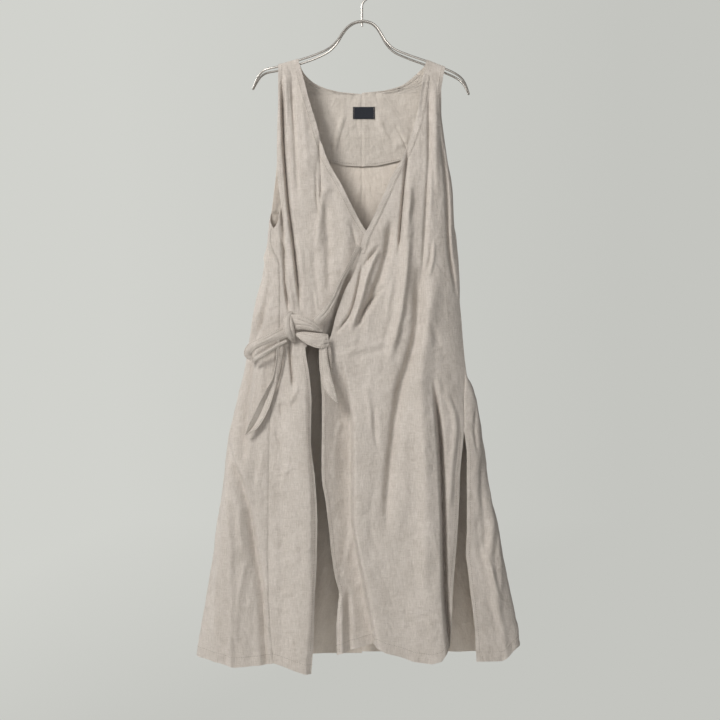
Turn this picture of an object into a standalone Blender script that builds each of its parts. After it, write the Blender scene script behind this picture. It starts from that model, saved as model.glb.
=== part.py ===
"""Wrap dress of washed linen, held flat on a double wire hanger.

Sizes in the tables are millimetres.  Z is up, the front of the dress faces -Y and the viewer's
right is +X.  The origin is the inside top of the hanger's hook, where a rod carries it.
"""
from collections import namedtuple

import bpy
import numpy as np

MM = 0.001

# Cloth and gaps
CLOTH_WALL = 1.6
BAND_WALL = 0.9
BAND_GAP = 0.75         # between a neck band and its panel
FACING_WALL = 1.2
TIE_WALL = 1.6
SEAM_GAP = 0.8          # between two panels that are sewn edge to edge
LAY_GAP = 0.35          # between a piece and the cloth it lies on
NECK_BAND_WIDTH = 12.0
LAYER_STEP = 4.5        # from the middle of the under front to the middle of the over front
STEP_SLOPE = 1.2        # beside the under front's edge the over front falls back this steeply
NO_LIMIT = 99.0         # depth that holds nothing back

# How closely the walls are divided
FRONT_ROW_STEP = 31.0
BACK_ROW_STEP = 36.0
UNDER_COLUMNS = 14
OVER_COLUMNS = 19
BACK_COLUMNS = 19
NEAREST_ROWS = 14.0     # rows closer than this are thinned out
SHOULDER_ROWS = 6       # rows at the shoulder that are always kept

# Folds
SOFTEST_FOLD = 8.0      # narrowest half width a fold has in the solid
SEAM_QUIET = 12.0       # beside a side seam the folds die out over this width
MIDDLE_QUIET = 14.0     # and beside the middle seam of the back over this one
FOLD_FADE = 0.18        # share of its length over which a fold dies out at an end
HEM_FOLD_FOOT = -1200.0  # a fold that ends lower than this runs on through the hem
HEM_FOLD_REACH = 1.2    # up to this many times its own length

# The turn from the back round the side to the front: 2 is an ellipse, more is squarer
BACK_ROUNDNESS = 3.4
SIDE_ROUNDNESS = 2.3
CLOSED_WRAP = 0.9       # a section that wraps more than this ends at the side seam
TURN_REACH = 1.5        # the lean of the cloth is read this far to either side

# Heights that part one region from the next
UNDERARM = -478.0
SLIT_TOP = -850.0
HEM_START = -1000.0
HEM_END = -1290.0
OVERLAP_TOP = -330.0
OVERLAP_FOOT = -700.0
SLIT_EASE = 12.0        # the back's free edge leaves the side seam over this height
ARMHOLE_FREE = 8.0      # above the underarm by this much the side edge is free
UNDER_BAND_ENDS = (-176, -484)
OVER_BAND_ENDS = (-182, -520)

# Hanger
WIRE_RADIUS = 2.0
WIRE_SIDES = 8
HOOK_RADIUS = 19.0
HOOK_CENTRE = -17.0
STEM_FOOT = -86.0
WIRE_STEP = 18.0

LINEN = (0.56, 0.50, 0.43, 1.0)
LINEN_SHADE = (0.52, 0.46, 0.40, 1.0)
PATCH_DARK = (0.012, 0.014, 0.022, 1.0)
STEEL = (0.62, 0.60, 0.57, 1.0)

# A front panel: one row for each section, from the shoulder seam down.  near_* is the Y of the
# cloth at the left edge, in the middle and at the right edge; rise is the right end's height
# above the left end.
Section = namedtuple("Section", "height left right near_left near_mid near_right rise")

UNDER_SECTIONS = (
    Section(-156.3, -158, -121, -0.4, -0.4, -0.4, 11),
    Section(-156.3, -158, -121, -17.0, -17.0, -17.0, 11),
    Section(-156.9, -158, -120, -21.6, -21.6, -21.6, 11),
    Section(-159.4, -158, -120, -24.0, -24.0, -24.0, 11),
    Section(-166, -158, -118, -24.7, -24.7, -24.7, 10),
    Section(-202, -158, -107, -25, -27, -26, 1),
    Section(-230, -158, -100, -26, -30, -28, 0),
    Section(-269, -159, -88, -27, -34, -31, 0),
    Section(-322, -160, -73, -28, -38, -34, 0),
    Section(-354, -160, -60, -28, -40, -36, 0),
    Section(-386, -158, -41, -28, -41, -36, 0),
    Section(-425, -154, -22, -29, -41, -36, 0),
    Section(-459, -158, -4, -30, -41, -35, 0),
    Section(-472, -166, 4, -30, -41, -34, 0),
    Section(-478, -172, 8, -30, -41, -34, 0),
    Section(-495, -172, 17, -30, -41, -34, 0),
    Section(-517, -165, 22, -31, -41, -34, 0),
    Section(-536, -156, 8, -32, -42, -34, 0),
    Section(-570, -154, -6, -34, -42, -35, 0),
    Section(-607, -154, -24, -36, -43, -37, 0),
    Section(-645, -154, -37, -38, -44, -39, 0),
    Section(-669, -155, -58, -39, -44, -41, 0),
    Section(-684, -157, -86, -40, -44, -43, 0),
    Section(-696, -159, -106, -40, -45, -44, 0),
    Section(-748, -164, -99, -42, -49, -47, 0),
    Section(-795, -170, -95, -43, -51, -48, 0),
    Section(-870, -173, -96, -44, -54, -50, 0),
    Section(-944, -174, -88, -45, -56, -52, 0),
    Section(-1019, -175, -84, -46, -58, -54, 0),
    Section(-1093, -175, -85, -47, -59, -55, 0),
    Section(-1168, -174, -89, -48, -60, -56, 0),
    Section(-1242, -170, -91, -49, -61, -57, 0),
    Section(-1298, -165, -95, -50, -61, -58, 0),
)

OVER_SECTIONS = (
    Section(-159.4, 123, 157, -0.4, -0.4, -0.4, -14),
    Section(-159.4, 123, 157, -17.0, -17.0, -17.0, -14),
    Section(-160.0, 122, 157, -21.6, -21.6, -21.6, -14),
    Section(-162.5, 121, 157, -24.0, -24.0, -24.0, -14),
    Section(-169, 119, 155, -24.7, -24.7, -24.7, -12),
    Section(-189, 115, 152, -25, -26, -24, -6),
    Section(-211, 111, 149, -26, -28, -24, 0),
    Section(-250, 106, 149, -30, -32, -22, 0),
    Section(-288, 96, 153, -34, -36, -20, 0),
    Section(-316, 86, 157, -37, -39, -19, 0),
    Section(-349, 71, 162, -40, -42, -18, 0),
    Section(-379, 54, 168, -41, -44, -17, 0),
    Section(-405, 43, 171, -42, -45, -16, 0),
    Section(-429, 32, 172, -43, -45, -15, 0),
    Section(-467, 14, 174, -43, -46, -14, 0),
    Section(-478, 8, 175.5, -43, -46, -14, 0),
    Section(-491, 2, 177, -43, -46, -13, 0),
    Section(-514, -4, 180, -43, -46, -12, 0),
    Section(-536, -8, 182, -43, -47, -12, 0),
    Section(-561, -17, 184, -43, -47, -12, 0),
    Section(-589, -32, 184, -44, -48, -12, 0),
    Section(-613, -41, 185, -45, -49, -12, 0),
    Section(-645, -51, 188, -46, -50, -12, 0),
    Section(-673, -58, 190, -46, -50, -12, 0),
    Section(-696, -69, 192, -44, -50, -13, 0),
    Section(-724, -78, 194, -42, -51, -14, 0),
    Section(-748, -78, 194, -40, -52, -16, 0),
    Section(-795, -75, 191, -38, -54, -24, 0),
    Section(-850, -75, 191, -37, -56, -34, 0),
    Section(-907, -76, 186, -36, -57, -38, 0),
    Section(-944, -75, 183, -36, -58, -40, 0),
    Section(-981, -69, 182, -36, -59, -41, 0),
    Section(-1037, -62, 179, -36, -60, -42, 0),
    Section(-1093, -56, 175, -37, -61, -43, 0),
    Section(-1130, -50, 172, -38, -62, -44, 0),
    Section(-1162, -43, 170, -40, -62, -44, 0),
    Section(-1190, -46, 169, -41, -63, -45, 0),
    Section(-1224, -48, 168, -42, -63, -45, 0),
    Section(-1275, -47, 166, -42, -64, -46, 0),
)

# A back half: neck is the X of the edge nearest the middle, side the X of the outermost point,
# back_y and side_y their depths, wrap how much of the turn to the front the cloth makes.
Back = namedtuple("Back", "height neck side back_y side_y wrap rise")

BACK_LEFT_SECTIONS = (
    Back(-156.3, -121, -158, 0.4, 0.4, 0, 11),
    Back(-156.3, -121, -158, 17.0, 17.0, 0, 11),
    Back(-156.9, -120, -158, 21.6, 21.6, 0, 11),
    Back(-159.4, -119, -158, 24.0, 24.0, 0, 11),
    Back(-168, -115, -158, 24.8, 24.6, 0, 8),
    Back(-184, -100, -158, 25, 23, 0, 2),
    Back(-195.5, -80, -158, 26, 22, 0, 0),
    Back(-203.5, -55, -158, 26, 22, 0, 0),
    Back(-207.5, -29, -158, 27, 21, 0, 0),
    Back(-208.8, 0, -158, 27, 21, 0, 0),
    Back(-245, 0, -158, 28, 18, 0, 0),
    Back(-322, 0, -161, 29, 14, 0, 0),
    Back(-375, 0, -165, 30, 11, 0, 0),
    Back(-417, 0, -170, 31, 8, 0, 0),
    Back(-455, 0, -175, 31, 4, 0, 0),
    Back(-470, 0, -177, 31, 0, 0.35, 0),
    Back(-478, 0, -178, 31, -4, 1, 0),
    Back(-492, 0, -179, 31, -5, 1, 0),
    Back(-534, 0, -184, 32, -5, 1, 0),
    Back(-568, 0, -190, 32, -4, 1, 0),
    Back(-606, 0, -201, 33, -4, 1, 0),
    Back(-644, 0, -209, 33, -3, 1, 0),
    Back(-682, 0, -215, 34, -3, 1, 0),
    Back(-720, 0, -220, 34, -3, 1, 0),
    Back(-796, 0, -236, 36, -2, 1, 0),
    Back(-872, 0, -254, 37, -2, 1, 0),
    Back(-948, 0, -262, 39, -2, 1, 0),
    Back(-1024, 0, -274, 40, -1, 1, 0),
    Back(-1100, 0, -285, 42, 0, 1, 0),
    Back(-1176, 0, -296, 43, 0, 1, 0),
    Back(-1252, 0, -306, 44, 0, 1, 0),
    Back(-1298, 0, -311, 44, 0, 1, 0),
)

BACK_RIGHT_SECTIONS = (
    Back(-159.4, 123, 157, 0.4, 0.4, 0, 14),
    Back(-159.4, 123, 157, 17.0, 17.0, 0, 14),
    Back(-160.0, 122, 157, 21.6, 21.6, 0, 14),
    Back(-162.5, 121, 156, 24.0, 24.0, 0, 14),
    Back(-169, 113, 153, 24.8, 24.6, 0, 10),
    Back(-184, 92, 149, 25, 22, 0, 2),
    Back(-195.5, 73, 147, 26, 21, 0, 0),
    Back(-203.5, 42, 146, 26, 20, 0, 0),
    Back(-207.5, 18, 146, 27, 20, 0, 0),
    Back(-208.8, 0, 146, 27, 20, 0, 0),
    Back(-245, 0, 147, 28, 17, 0, 0),
    Back(-322, 0, 156, 29, 13, 0, 0),
    Back(-375, 0, 165, 30, 10, 0, 0),
    Back(-417, 0, 169, 31, 8, 0, 0),
    Back(-455, 0, 172, 31, 5, 0, 0),
    Back(-470, 0, 174, 31, 2, 0.35, 0),
    Back(-478, 0, 176, 31, -1, 1, 0),
    Back(-514, 0, 180, 31, -2, 1, 0),
    Back(-568, 0, 184, 32, -2, 1, 0),
    Back(-613, 0, 185, 33, -2, 1, 0),
    Back(-645, 0, 188.2, 33, -2, 1, 0),
    Back(-682, 0, 190.5, 34, -2, 1, 0),
    Back(-724, 0, 195, 34, -3, 1, 0),
    Back(-748, 0, 198, 35, -3, 1, 0),
    Back(-766, 0, 208, 35, -3, 1, 0),
    Back(-790, 0, 216, 36, -3, 1, 0),
    Back(-834, 0, 224, 36, -2, 1, 0),
    Back(-948, 0, 237, 38, -2, 1, 0),
    Back(-1024, 0, 256, 40, -1, 1, 0),
    Back(-1100, 0, 268, 42, 0, 1, 0),
    Back(-1176, 0, 281, 43, 0, 1, 0),
    Back(-1252, 0, 296, 44, 0, 1, 0),
    Back(-1286, 0, 300, 44, 0, 1, 0),
)

# Free edge of the back beside the slit: height, X and Y of the edge
Edge = namedtuple("Edge", "height x y")
SLIT_EDGE = (
    Edge(-862, 193, -34),
    Edge(-890, 197, -34),
    Edge(-1039, 197, -35),
    Edge(-1086, 195, -35),
    Edge(-1114, 199, -36),
    Edge(-1152, 203, -36),
    Edge(-1189, 208, -37),
    Edge(-1227, 212, -37),
    Edge(-1290, 215, -38),
)

# A fold: heights of its two ends, where its line runs (equal steps from top to foot), its half
# width on either side of the line and how far it stands out (a groove is below nought).
# On the fronts the line is an X; on the backs it is a distance from the side seam.
Fold = namedtuple("Fold", "top foot line width_before width_after out")

UNDER_FOLDS = (
    Fold(-172, -640, (-152, -149, -141, -127, -114), 4, 6, -14),
    Fold(-415, -640, (-154, -149, -146, -136), 3, 4, -8),
    Fold(-182, -330, (-130, -129, -128), 4, 4, -4),
    Fold(-178, -310, (-144, -143, -141), 4, 4, 3),
    Fold(-200, -330, (-114, -108, -102), 5, 5, 2),
    Fold(-320, -455, (-81, -77, -83), 3, 3, -4),
    Fold(-385, -505, (-64, -79, -84), 2, 7, 4),
    Fold(-410, -600, (-70, -64, -62), 7, 8, -6),
    Fold(-400, -590, (-42, -30, -24), 12, 10, 4),
    Fold(-505, -640, (-90, -88, -86), 8, 8, -4),
    Fold(-680, -765, (-133, -131, -129), 4, 4, -6),
    Fold(-700, -1290, (-110, -106, -98, -97, -106), 12, 8, 5),
    Fold(-760, -1290, (-146, -142, -138, -140), 14, 16, -3),
)

OVER_FOLDS = (
    Fold(-182, -600, (127, 126, 119, 111), 4, 5, -6),
    Fold(-285, -612, (146, 158, 163, 181), 3, 4, -8),
    Fold(-190, -420, (139, 139, 141), 5, 5, 3),
    Fold(-395, -545, (167, 168, 172), 4, 4, 3),
    Fold(-312, -525, (87, 77, 68), 3, 3, -8),
    Fold(-365, -735, (90, 87, 76, 48), 9, 7, 8),
    Fold(-510, -1065, (106, 103, 70, 52, 42), 9, 11, -11),
    Fold(-515, -1185, (143, 125, 110, 118, 118, 116), 13, 14, 9),
    Fold(-500, -672, (36, 12, -4, -24), 5, 6, 6),
    Fold(-450, -650, (54, 50, 38, 20, -8), 7, 9, -8),
    Fold(-538, -674, (1, -8, -20, -52), 3, 3, -5),
    Fold(-578, -662, (46, 8, -10), 4, 4, -4),
    Fold(-742, -1280, (132, 147, 152, 155, 165), 4, 5, -20),
    Fold(-758, -1010, (152, 176, 168, 163), 6, 5, 5),
    Fold(-728, -1280, (-40, -22, -22, -2, 23), 5, 4, -9),
    Fold(-775, -1130, (-6, 0, 9), 9, 14, 5),
    Fold(-1160, -1278, (-38, -38, -37), 5, 5, 7),
    Fold(-1155, -1278, (-27, -24, -22), 5, 5, -7),
)

BACK_LEFT_FOLDS = (
    Fold(-858, -1292, (92, 48, 26, 12, 14), 6, 9, -13),
    Fold(-955, -1292, (74, 67, 78), 5, 5, 6),
    Fold(-1090, -1225, (40, 54, 64), 4, 4, 4),
    Fold(-645, -940, (56, 52, 50), 9, 10, -7),
    Fold(-585, -685, (14, 32, 54), 4, 4, -4),
    Fold(-560, -1292, (150, 160, 176, 190), 22, 26, 8),
    Fold(-620, -1292, (205, 222, 246, 262), 20, 24, -9),
    Fold(-540, -1292, (250, 275, 306, 330), 20, 22, 9),
    Fold(-700, -1292, (300, 330, 368, 392), 18, 22, -8),
    Fold(-230, -520, (60, 66, 84), 10, 12, 5),
)

BACK_RIGHT_FOLDS = (
    Fold(-1075, -1175, (36, 52), 4, 4, 4),
    Fold(-900, -1085, (36, 32, 38), 8, 8, -5),
    Fold(-990, -1290, (52, 44, 58), 7, 8, 5),
    Fold(-590, -1290, (90, 128, 160, 172), 20, 24, 8),
    Fold(-650, -1290, (130, 176, 214, 236), 18, 24, -8),
    Fold(-560, -1290, (160, 214, 262, 290), 20, 20, 9),
    Fold(-720, -1290, (190, 262, 306, 340), 18, 20, -7),
    Fold(-240, -510, (56, 60, 76), 10, 12, 5),
)

# How far the hem is lifted (+) or drops (-): across position and lift
Lift = namedtuple("Lift", "across lift")
UNDER_HEM = (Lift(-165, 11), Lift(-140, 4), Lift(-105, -7), Lift(-95, -7))
OVER_HEM = (
    Lift(-47, 4), Lift(-28, 10), Lift(20, 22), Lift(45, 9), Lift(72, 2), Lift(96, -7),
    Lift(130, -11), Lift(148, -6), Lift(158, 8), Lift(166, 16),
)
BACK_LEFT_HEM = (Lift(0, 11), Lift(16, 7), Lift(72, 3), Lift(100, 12), Lift(140, 16), Lift(420, 13))
BACK_RIGHT_HEM = (Lift(0, 0), Lift(50, 0), Lift(80, 22), Lift(100, 28), Lift(160, 6), Lift(400, 4))

Front = namedtuple("Front", "sections folds hem left_power right_power")
Half = namedtuple("Half", "sections folds hem sign")

UNDER = Front(UNDER_SECTIONS, UNDER_FOLDS, UNDER_HEM, 3, 3)
OVER = Front(OVER_SECTIONS, OVER_FOLDS, OVER_HEM, 3, 7)
BACK_LEFT = Half(BACK_LEFT_SECTIONS, BACK_LEFT_FOLDS, BACK_LEFT_HEM, -1)
BACK_RIGHT = Half(BACK_RIGHT_SECTIONS, BACK_RIGHT_FOLDS, BACK_RIGHT_HEM, 1)

# Facing inside the back neck: share of the width from the middle, height of its lower edge
FacingEdge = namedtuple("FacingEdge", "share height")
FACING_EDGE = (
    FacingEdge(0.0, -349), FacingEdge(0.2, -347), FacingEdge(0.4, -340), FacingEdge(0.92, -318),
)
FACING_SIDE_SHARE = 0.92
FACING_FIRST_ROW = 5
FACING_LEAST_ROW = 4.0  # the lowest whole row stays this far above the lower edge's side end

# Patch sewn on the facing
PATCH_LEFT = -17.5
PATCH_RIGHT = 24.5
PATCH_TOP = -235.0
PATCH_FOOT = -258.0
PATCH_WALL = 1.0
PATCH_ROWS = 3
PATCH_COLUMNS = 4
BELOW_NECK = 9          # from this row of the back's table down it reaches the middle seam

# A strip of the tie: where its middle runs, its width, how far it is turned from facing the
# viewer (degrees) and how far its middle is bowed out of the flat.
Strip = namedtuple("Strip", "x y z width turn bow")

TIE_STRAP = (
    Strip(-6, -48.6, -508, 9, 30, 0.5),
    Strip(-24, -52, -545, 10, 36, 0.8),
    Strip(-39, -54.5, -573, 11, 34, 1.0),
    Strip(-52, -56.5, -604, 13, 28, 1.2),
    Strip(-67, -58, -629, 16, 20, 1.5),
    Strip(-85.6, -58.4, -649.6, 18, 10, 2.0),
)
KNOT_WRAP = (
    Strip(-133, -44.8, -632, 7, 0, 0.6),
    Strip(-136, -58, -637, 12, 0, 1.5),
    Strip(-138, -65, -650, 16, 0, 2.2),
    Strip(-137, -65, -664, 17, 0, 2.2),
    Strip(-134, -58, -678, 14, 0, 1.5),
    Strip(-130, -44.1, -685, 8, 0, 0.6),
)
KNOT_BAND = (
    Strip(-128.9, -58, -653, 15, -10, 2.0),
    Strip(-116, -62, -650, 19, -8, 2.6),
    Strip(-103, -63.5, -651, 19, 0, 2.6),
    Strip(-91, -61.5, -656, 15, 8, 2.0),
    Strip(-79, -56, -663, 8, 10, 1.0),
)
LOOP_RIGHT = (
    Strip(-125.7, -59, -674, 6, 0, 0.8),
    Strip(-114, -62, -678, 14, 0, 2.0),
    Strip(-98, -64.5, -682, 21, 0, 3.0),
    Strip(-82, -64.5, -682, 22, 0, 3.0),
    Strip(-68, -61, -679, 18, 0, 2.5),
    Strip(-60, -55, -677, 11, 0, 1.0),
)
LOOP_LEFT_OUTER = (
    Strip(-142.7, -58, -664, 20, 0, 2.0),
    Strip(-161, -60, -670, 17, 8, 2.5),
    Strip(-178, -61, -677, 15, 14, 2.5),
    Strip(-195, -59, -684, 16, 10, 2.5),
    Strip(-207, -54, -690, 20, 0, 2.0),
    Strip(-214, -46, -697, 22, 0, 1.0),
)
LOOP_LEFT_INNER = (
    Strip(-139.4, -52.4, -681, 7, 20, 0.8),
    Strip(-168, -52, -690, 8, 40, 1.0),
    Strip(-184, -53, -698, 9, 50, 1.0),
    Strip(-195, -52, -708, 9, 54, 1.0),
    Strip(-200, -49, -719, 8, 50, 0.5),
)
TAIL_LEFT = (
    Strip(-153, -58.2, -679.3, 9, 30, 0.5),
    Strip(-156, -57.5, -718, 12, 40, -1.0),
    Strip(-163, -57, -754, 19, 30, -2.5),
    Strip(-175, -56, -786, 25, 14, -3.5),
    Strip(-190, -54.5, -817, 27, 6, -4.0),
    Strip(-204, -53, -847, 25, 0, -3.5),
)
TAIL_LEFT_INNER = (
    Strip(-142, -50.5, -690.5, 8, 30, 0.5),
    Strip(-144, -51.5, -716, 9, 50, 0.8),
    Strip(-147, -50.8, -744, 8, 60, 0.8),
)
TAIL_RIGHT = (
    Strip(-73.5, -62.9, -692.6, 13, 0, 1.2),
    Strip(-72, -60, -722, 15, 0, 1.6),
    Strip(-68, -60, -752, 17, 6, 1.8),
    Strip(-61, -59, -779, 18, 8, 1.8),
    Strip(-52, -57, -800, 14, 4, 1.0),
)
TAIL_BEHIND = (
    Strip(-60, -56, -686, 7, 20, 0.5),
    Strip(-58, -55, -710, 8, 40, 0.8),
    Strip(-56, -53.5, -732, 7, 55, 0.5),
)

# The strips of the tie, each with its numbers of rows and columns
TiePiece = namedtuple("TiePiece", "name strips rows columns")
TIE_PIECES = (
    TiePiece("tie_strap", TIE_STRAP, 12, 5),
    TiePiece("knot_wrap", KNOT_WRAP, 10, 5),
    TiePiece("knot_band", KNOT_BAND, 9, 5),
    TiePiece("loop_right", LOOP_RIGHT, 11, 5),
    TiePiece("loop_left_outer", LOOP_LEFT_OUTER, 12, 5),
    TiePiece("loop_left_inner", LOOP_LEFT_INNER, 9, 4),
    TiePiece("tail_left", TAIL_LEFT, 14, 5),
    TiePiece("tail_left_inner", TAIL_LEFT_INNER, 7, 4),
    TiePiece("tail_right", TAIL_RIGHT, 12, 5),
    TiePiece("tail_behind", TAIL_BEHIND, 6, 4),
)

# The hanger's wire, from tip to tip: X, height and half the distance between its two wires
Wire = namedtuple("Wire", "x height half_gap")
HANGER_WIRE = (
    Wire(-205.5, -201.5, 3.6), Wire(-201, -192, 8), Wire(-193, -179, 14), Wire(-183, -171.5, 18),
    Wire(-160, -166.4, 20), Wire(-119, -153.8, 20), Wire(-88, -143, 18.5), Wire(-62, -130, 15.5),
    Wire(-47, -115, 12), Wire(-36, -98, 8.5), Wire(-26, -86.5, 6.2), Wire(-12, -78.5, 4.6),
    Wire(2, -76, 4.4), Wire(16, -79, 4.6), Wire(28, -88, 6.2), Wire(37, -102, 8.5),
    Wire(46, -117, 12), Wire(60, -131, 15.5), Wire(88, -143.6, 18.5), Wire(122, -155.8, 20),
    Wire(140, -163.4, 20), Wire(159, -170.9, 20), Wire(180, -181, 18), Wire(191, -190, 14),
    Wire(198, -202, 8), Wire(201.5, -211, 3.6),
)


def steps_along(*tracks):
    """Distance travelled from row to row, summed, for tracks that change together."""
    squares = sum(np.diff(np.asarray(track, float)) ** 2 for track in tracks)
    return np.concatenate([[0.0], np.cumsum(np.maximum(np.sqrt(squares), 0.5))])


def smooth(knots, values, at):
    """Read a line through (knots, values) that keeps every rise and fall of the table."""
    knots = np.asarray(knots, float)
    values = np.asarray(values, float)
    gaps = np.diff(knots)
    slopes = np.diff(values) / gaps
    lean = np.zeros_like(values)
    lean[0] = slopes[0]
    lean[-1] = slopes[-1]
    before, after = slopes[:-1], slopes[1:]
    same_way = before * after > 0
    heavy_a = 2 * gaps[1:] + gaps[:-1]
    heavy_b = gaps[1:] + 2 * gaps[:-1]
    with np.errstate(divide="ignore", invalid="ignore"):
        mean = (heavy_a + heavy_b) / (heavy_a / before + heavy_b / after)
    lean[1:-1] = np.where(same_way, mean, 0.0)
    at = np.clip(np.asarray(at, float), knots[0], knots[-1])
    cell = np.clip(np.searchsorted(knots, at, side="right") - 1, 0, len(gaps) - 1)
    width = gaps[cell]
    t = (at - knots[cell]) / width
    return (values[cell] * (1 + 2 * t) * (1 - t) ** 2 + values[cell + 1] * t * t * (3 - 2 * t)
            + lean[cell] * width * t * (1 - t) ** 2 - lean[cell + 1] * width * t * t * (1 - t))


def ease(value):
    """Nought to one with soft ends."""
    value = np.clip(value, 0.0, 1.0)
    return value * value * (3 - 2 * value)


def column(rows, name):
    return np.array([getattr(row, name) for row in rows], float)


def fold_height(folds, across, height, softest):
    """How far all folds together stand out at the given places."""
    total = np.zeros_like(across)
    for fold in folds:
        share = (fold.top - height) / (fold.top - fold.foot)
        places = np.linspace(0.0, 1.0, len(fold.line))
        line = smooth(places, fold.line, share)
        before = max(fold.width_before, softest)
        after = max(fold.width_after, softest)
        away = across - line
        reach = np.where(away < 0, before, after)
        fade = ease(share / FOLD_FADE) * ease((1.0 - share) / FOLD_FADE)
        if fold.foot < HEM_FOLD_FOOT:
            fade = ease(share / FOLD_FADE) * (share <= HEM_FOLD_REACH)
        narrow = (fold.width_before + fold.width_after) / (before + after)
        total += fold.out * np.sqrt(narrow) * fade * np.exp(-(away / reach) ** 2)
    return total


def hem_lift(table, across, height):
    share = ease((HEM_START - height) / (HEM_START - HEM_END))
    return share * np.interp(across, column(table, "across"), column(table, "lift"))


def front_track(front):
    rows = front.sections
    return steps_along(column(rows, "height"), column(rows, "near_mid"))


def front_depth(front, run, across, x, z, softest):
    """Y of a front panel's middle surface."""
    rows = front.sections
    track = front_track(front)
    left = smooth(track, column(rows, "near_left"), run)
    mid = smooth(track, column(rows, "near_mid"), run)
    right = smooth(track, column(rows, "near_right"), run)
    flat = mid + (left - mid) * (1 - across) ** front.left_power
    flat += (right - mid) * across ** front.right_power
    wide = smooth(track, column(rows, "right"), run) - smooth(track, column(rows, "left"), run)
    from_seam = wide * (across if front is UNDER else 1 - across)
    free = z > UNDERARM + ARMHOLE_FREE
    if front is OVER:
        free = free | (z < SLIT_TOP)
    quiet = np.maximum(ease(from_seam / SEAM_QUIET), free)
    return flat - fold_height(front.folds, x, z, softest) * quiet


def under_limit(x, z, softest):
    """The Y the over front has to keep in front of, where it lies on the under front."""
    rows = UNDER.sections
    track = front_track(UNDER)
    run = np.interp(-z, -column(rows, "height")[1:], track[1:])
    left = smooth(track, column(rows, "left"), run)
    right = smooth(track, column(rows, "right"), run)
    across = np.clip((x - left) / (right - left), 0.0, 1.0)
    near = front_depth(UNDER, run, across, np.minimum(x, right), z, softest)
    beyond = np.maximum(0.0, x - right)
    inside = (z < OVERLAP_TOP) & (z > OVERLAP_FOOT)
    return np.where(inside, near - LAYER_STEP + STEP_SLOPE * beyond, NO_LIMIT)


def front_grid(front, runs, shares, softest=0.0):
    """Points of a front panel's middle surface, rows by columns."""
    rows = front.sections
    track = front_track(front)
    run, across = np.meshgrid(runs, shares, indexing="ij")
    left = smooth(track, column(rows, "left"), run)
    right = smooth(track, column(rows, "right"), run)
    x = left + (right - left) * across
    z = smooth(track, column(rows, "height"), run)
    z = z + smooth(track, column(rows, "rise"), run) * (across - 0.5)
    y = front_depth(front, run, across, x, z, softest)
    if front is OVER:
        y = np.minimum(y, under_limit(x, z, softest))
    z = z + hem_lift(front.hem, x, z)
    return np.stack([x, y, z], axis=-1)


def side_edge(half, height):
    """X and Y of the edge a back half ends on, at a height below the underarm."""
    front, end = (UNDER, "left") if half.sign < 0 else (OVER, "right")
    heights = -column(front.sections, "height")[1:]
    x = np.interp(-height, heights, column(front.sections, end)[1:])
    y = np.interp(-height, heights, column(front.sections, "near_" + end)[1:])
    if half.sign > 0:
        free = -column(SLIT_EDGE, "height")
        below = ease((SLIT_TOP - height) / SLIT_EASE)
        x = x + (np.interp(-height, free, column(SLIT_EDGE, "x")) - x) * below
        y = y + (np.interp(-height, free, column(SLIT_EDGE, "y")) - y) * below
    return x, y


def back_path(half, row):
    """Section of a back half as a line from the middle seam, round the side, to its edge."""
    turn = np.linspace(0.0, np.pi / 2, 60)
    share = turn / turn[-1]
    back_power, side_power = 2 / BACK_ROUNDNESS, 2 / SIDE_ROUNDNESS
    wide, deep = row["side"] - row["neck"], row["side_y"] - row["back_y"]
    round_x = np.sin(turn) ** back_power
    round_y = 1 - np.cos(turn).clip(0) ** back_power
    x = row["neck"] + wide * (share + (round_x - share) * row["wrap"])
    y = row["back_y"] + deep * (share ** 4 + (round_y - share ** 4) * row["wrap"])
    if row["wrap"] > 0:
        edge_x, edge_y = side_edge(half, row["height"])
        front_turn = np.linspace(0.0, np.pi / 2 * row["wrap"], 40)[1:]
        round_x = edge_x + (row["side"] - edge_x) * np.cos(front_turn).clip(0) ** side_power
        round_y = row["side_y"] + (edge_y - row["side_y"]) * np.sin(front_turn) ** side_power
        x = np.concatenate([x, round_x])
        y = np.concatenate([y, round_y])
    return x, y


def back_track(half):
    rows = half.sections
    return steps_along(column(rows, "height"), column(rows, "back_y"))


def back_grid(half, runs, shares, softest=0.0):
    """Points of a back half's middle surface, rows by columns."""
    rows = half.sections
    track = back_track(half)
    names = ("height", "neck", "side", "back_y", "side_y", "wrap", "rise")
    table = {name: smooth(track, column(rows, name), runs) for name in names}
    shares = np.asarray(shares, float)
    lines = []
    for index in range(len(runs)):
        row = {name: table[name][index] for name in names}
        x, y = back_path(half, row)
        length = steps_along(x, y)
        start = SEAM_GAP / 2 if row["neck"] == 0 else 0.0
        closed = row["wrap"] > CLOSED_WRAP
        stop = length[-1] - (SEAM_GAP if closed else 0.0)
        at = start + (stop - start) * shares
        px = np.interp(at, length, x)
        py = np.interp(at, length, y)
        after, before = at + TURN_REACH, at - TURN_REACH
        ahead_x = np.interp(after, length, x) - np.interp(before, length, x)
        ahead_y = np.interp(after, length, y) - np.interp(before, length, y)
        size = np.hypot(ahead_x, ahead_y).clip(1e-6)
        from_edge = length[-1] - at
        z = np.full_like(px, row["height"]) + row["rise"] * (0.5 - shares)
        quiet = ease(at / MIDDLE_QUIET) * (ease(from_edge / SEAM_QUIET) if closed else 1.0)
        out = fold_height(half.folds, from_edge, z, softest) * quiet
        px = px - half.sign * ahead_y / size * out
        py = py + half.sign * ahead_x / size * out
        z = z + hem_lift(half.hem, from_edge, z)
        lines.append(np.stack([px, py, z], axis=-1))
    return np.stack(lines)


def runs_for(track, widths, step):
    """Places down a panel: every row of its table and even steps between them."""
    runs = [0.0]
    for index in range(len(track) - 1):
        sizes = [track[index + 1] - track[index]]
        sizes += [abs(width[index + 1] - width[index]) for width in widths]
        parts = max(1, int(round(max(sizes) / step)))
        runs.extend(np.linspace(track[index], track[index + 1], parts + 1)[1:])
    return np.array(runs)


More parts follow.
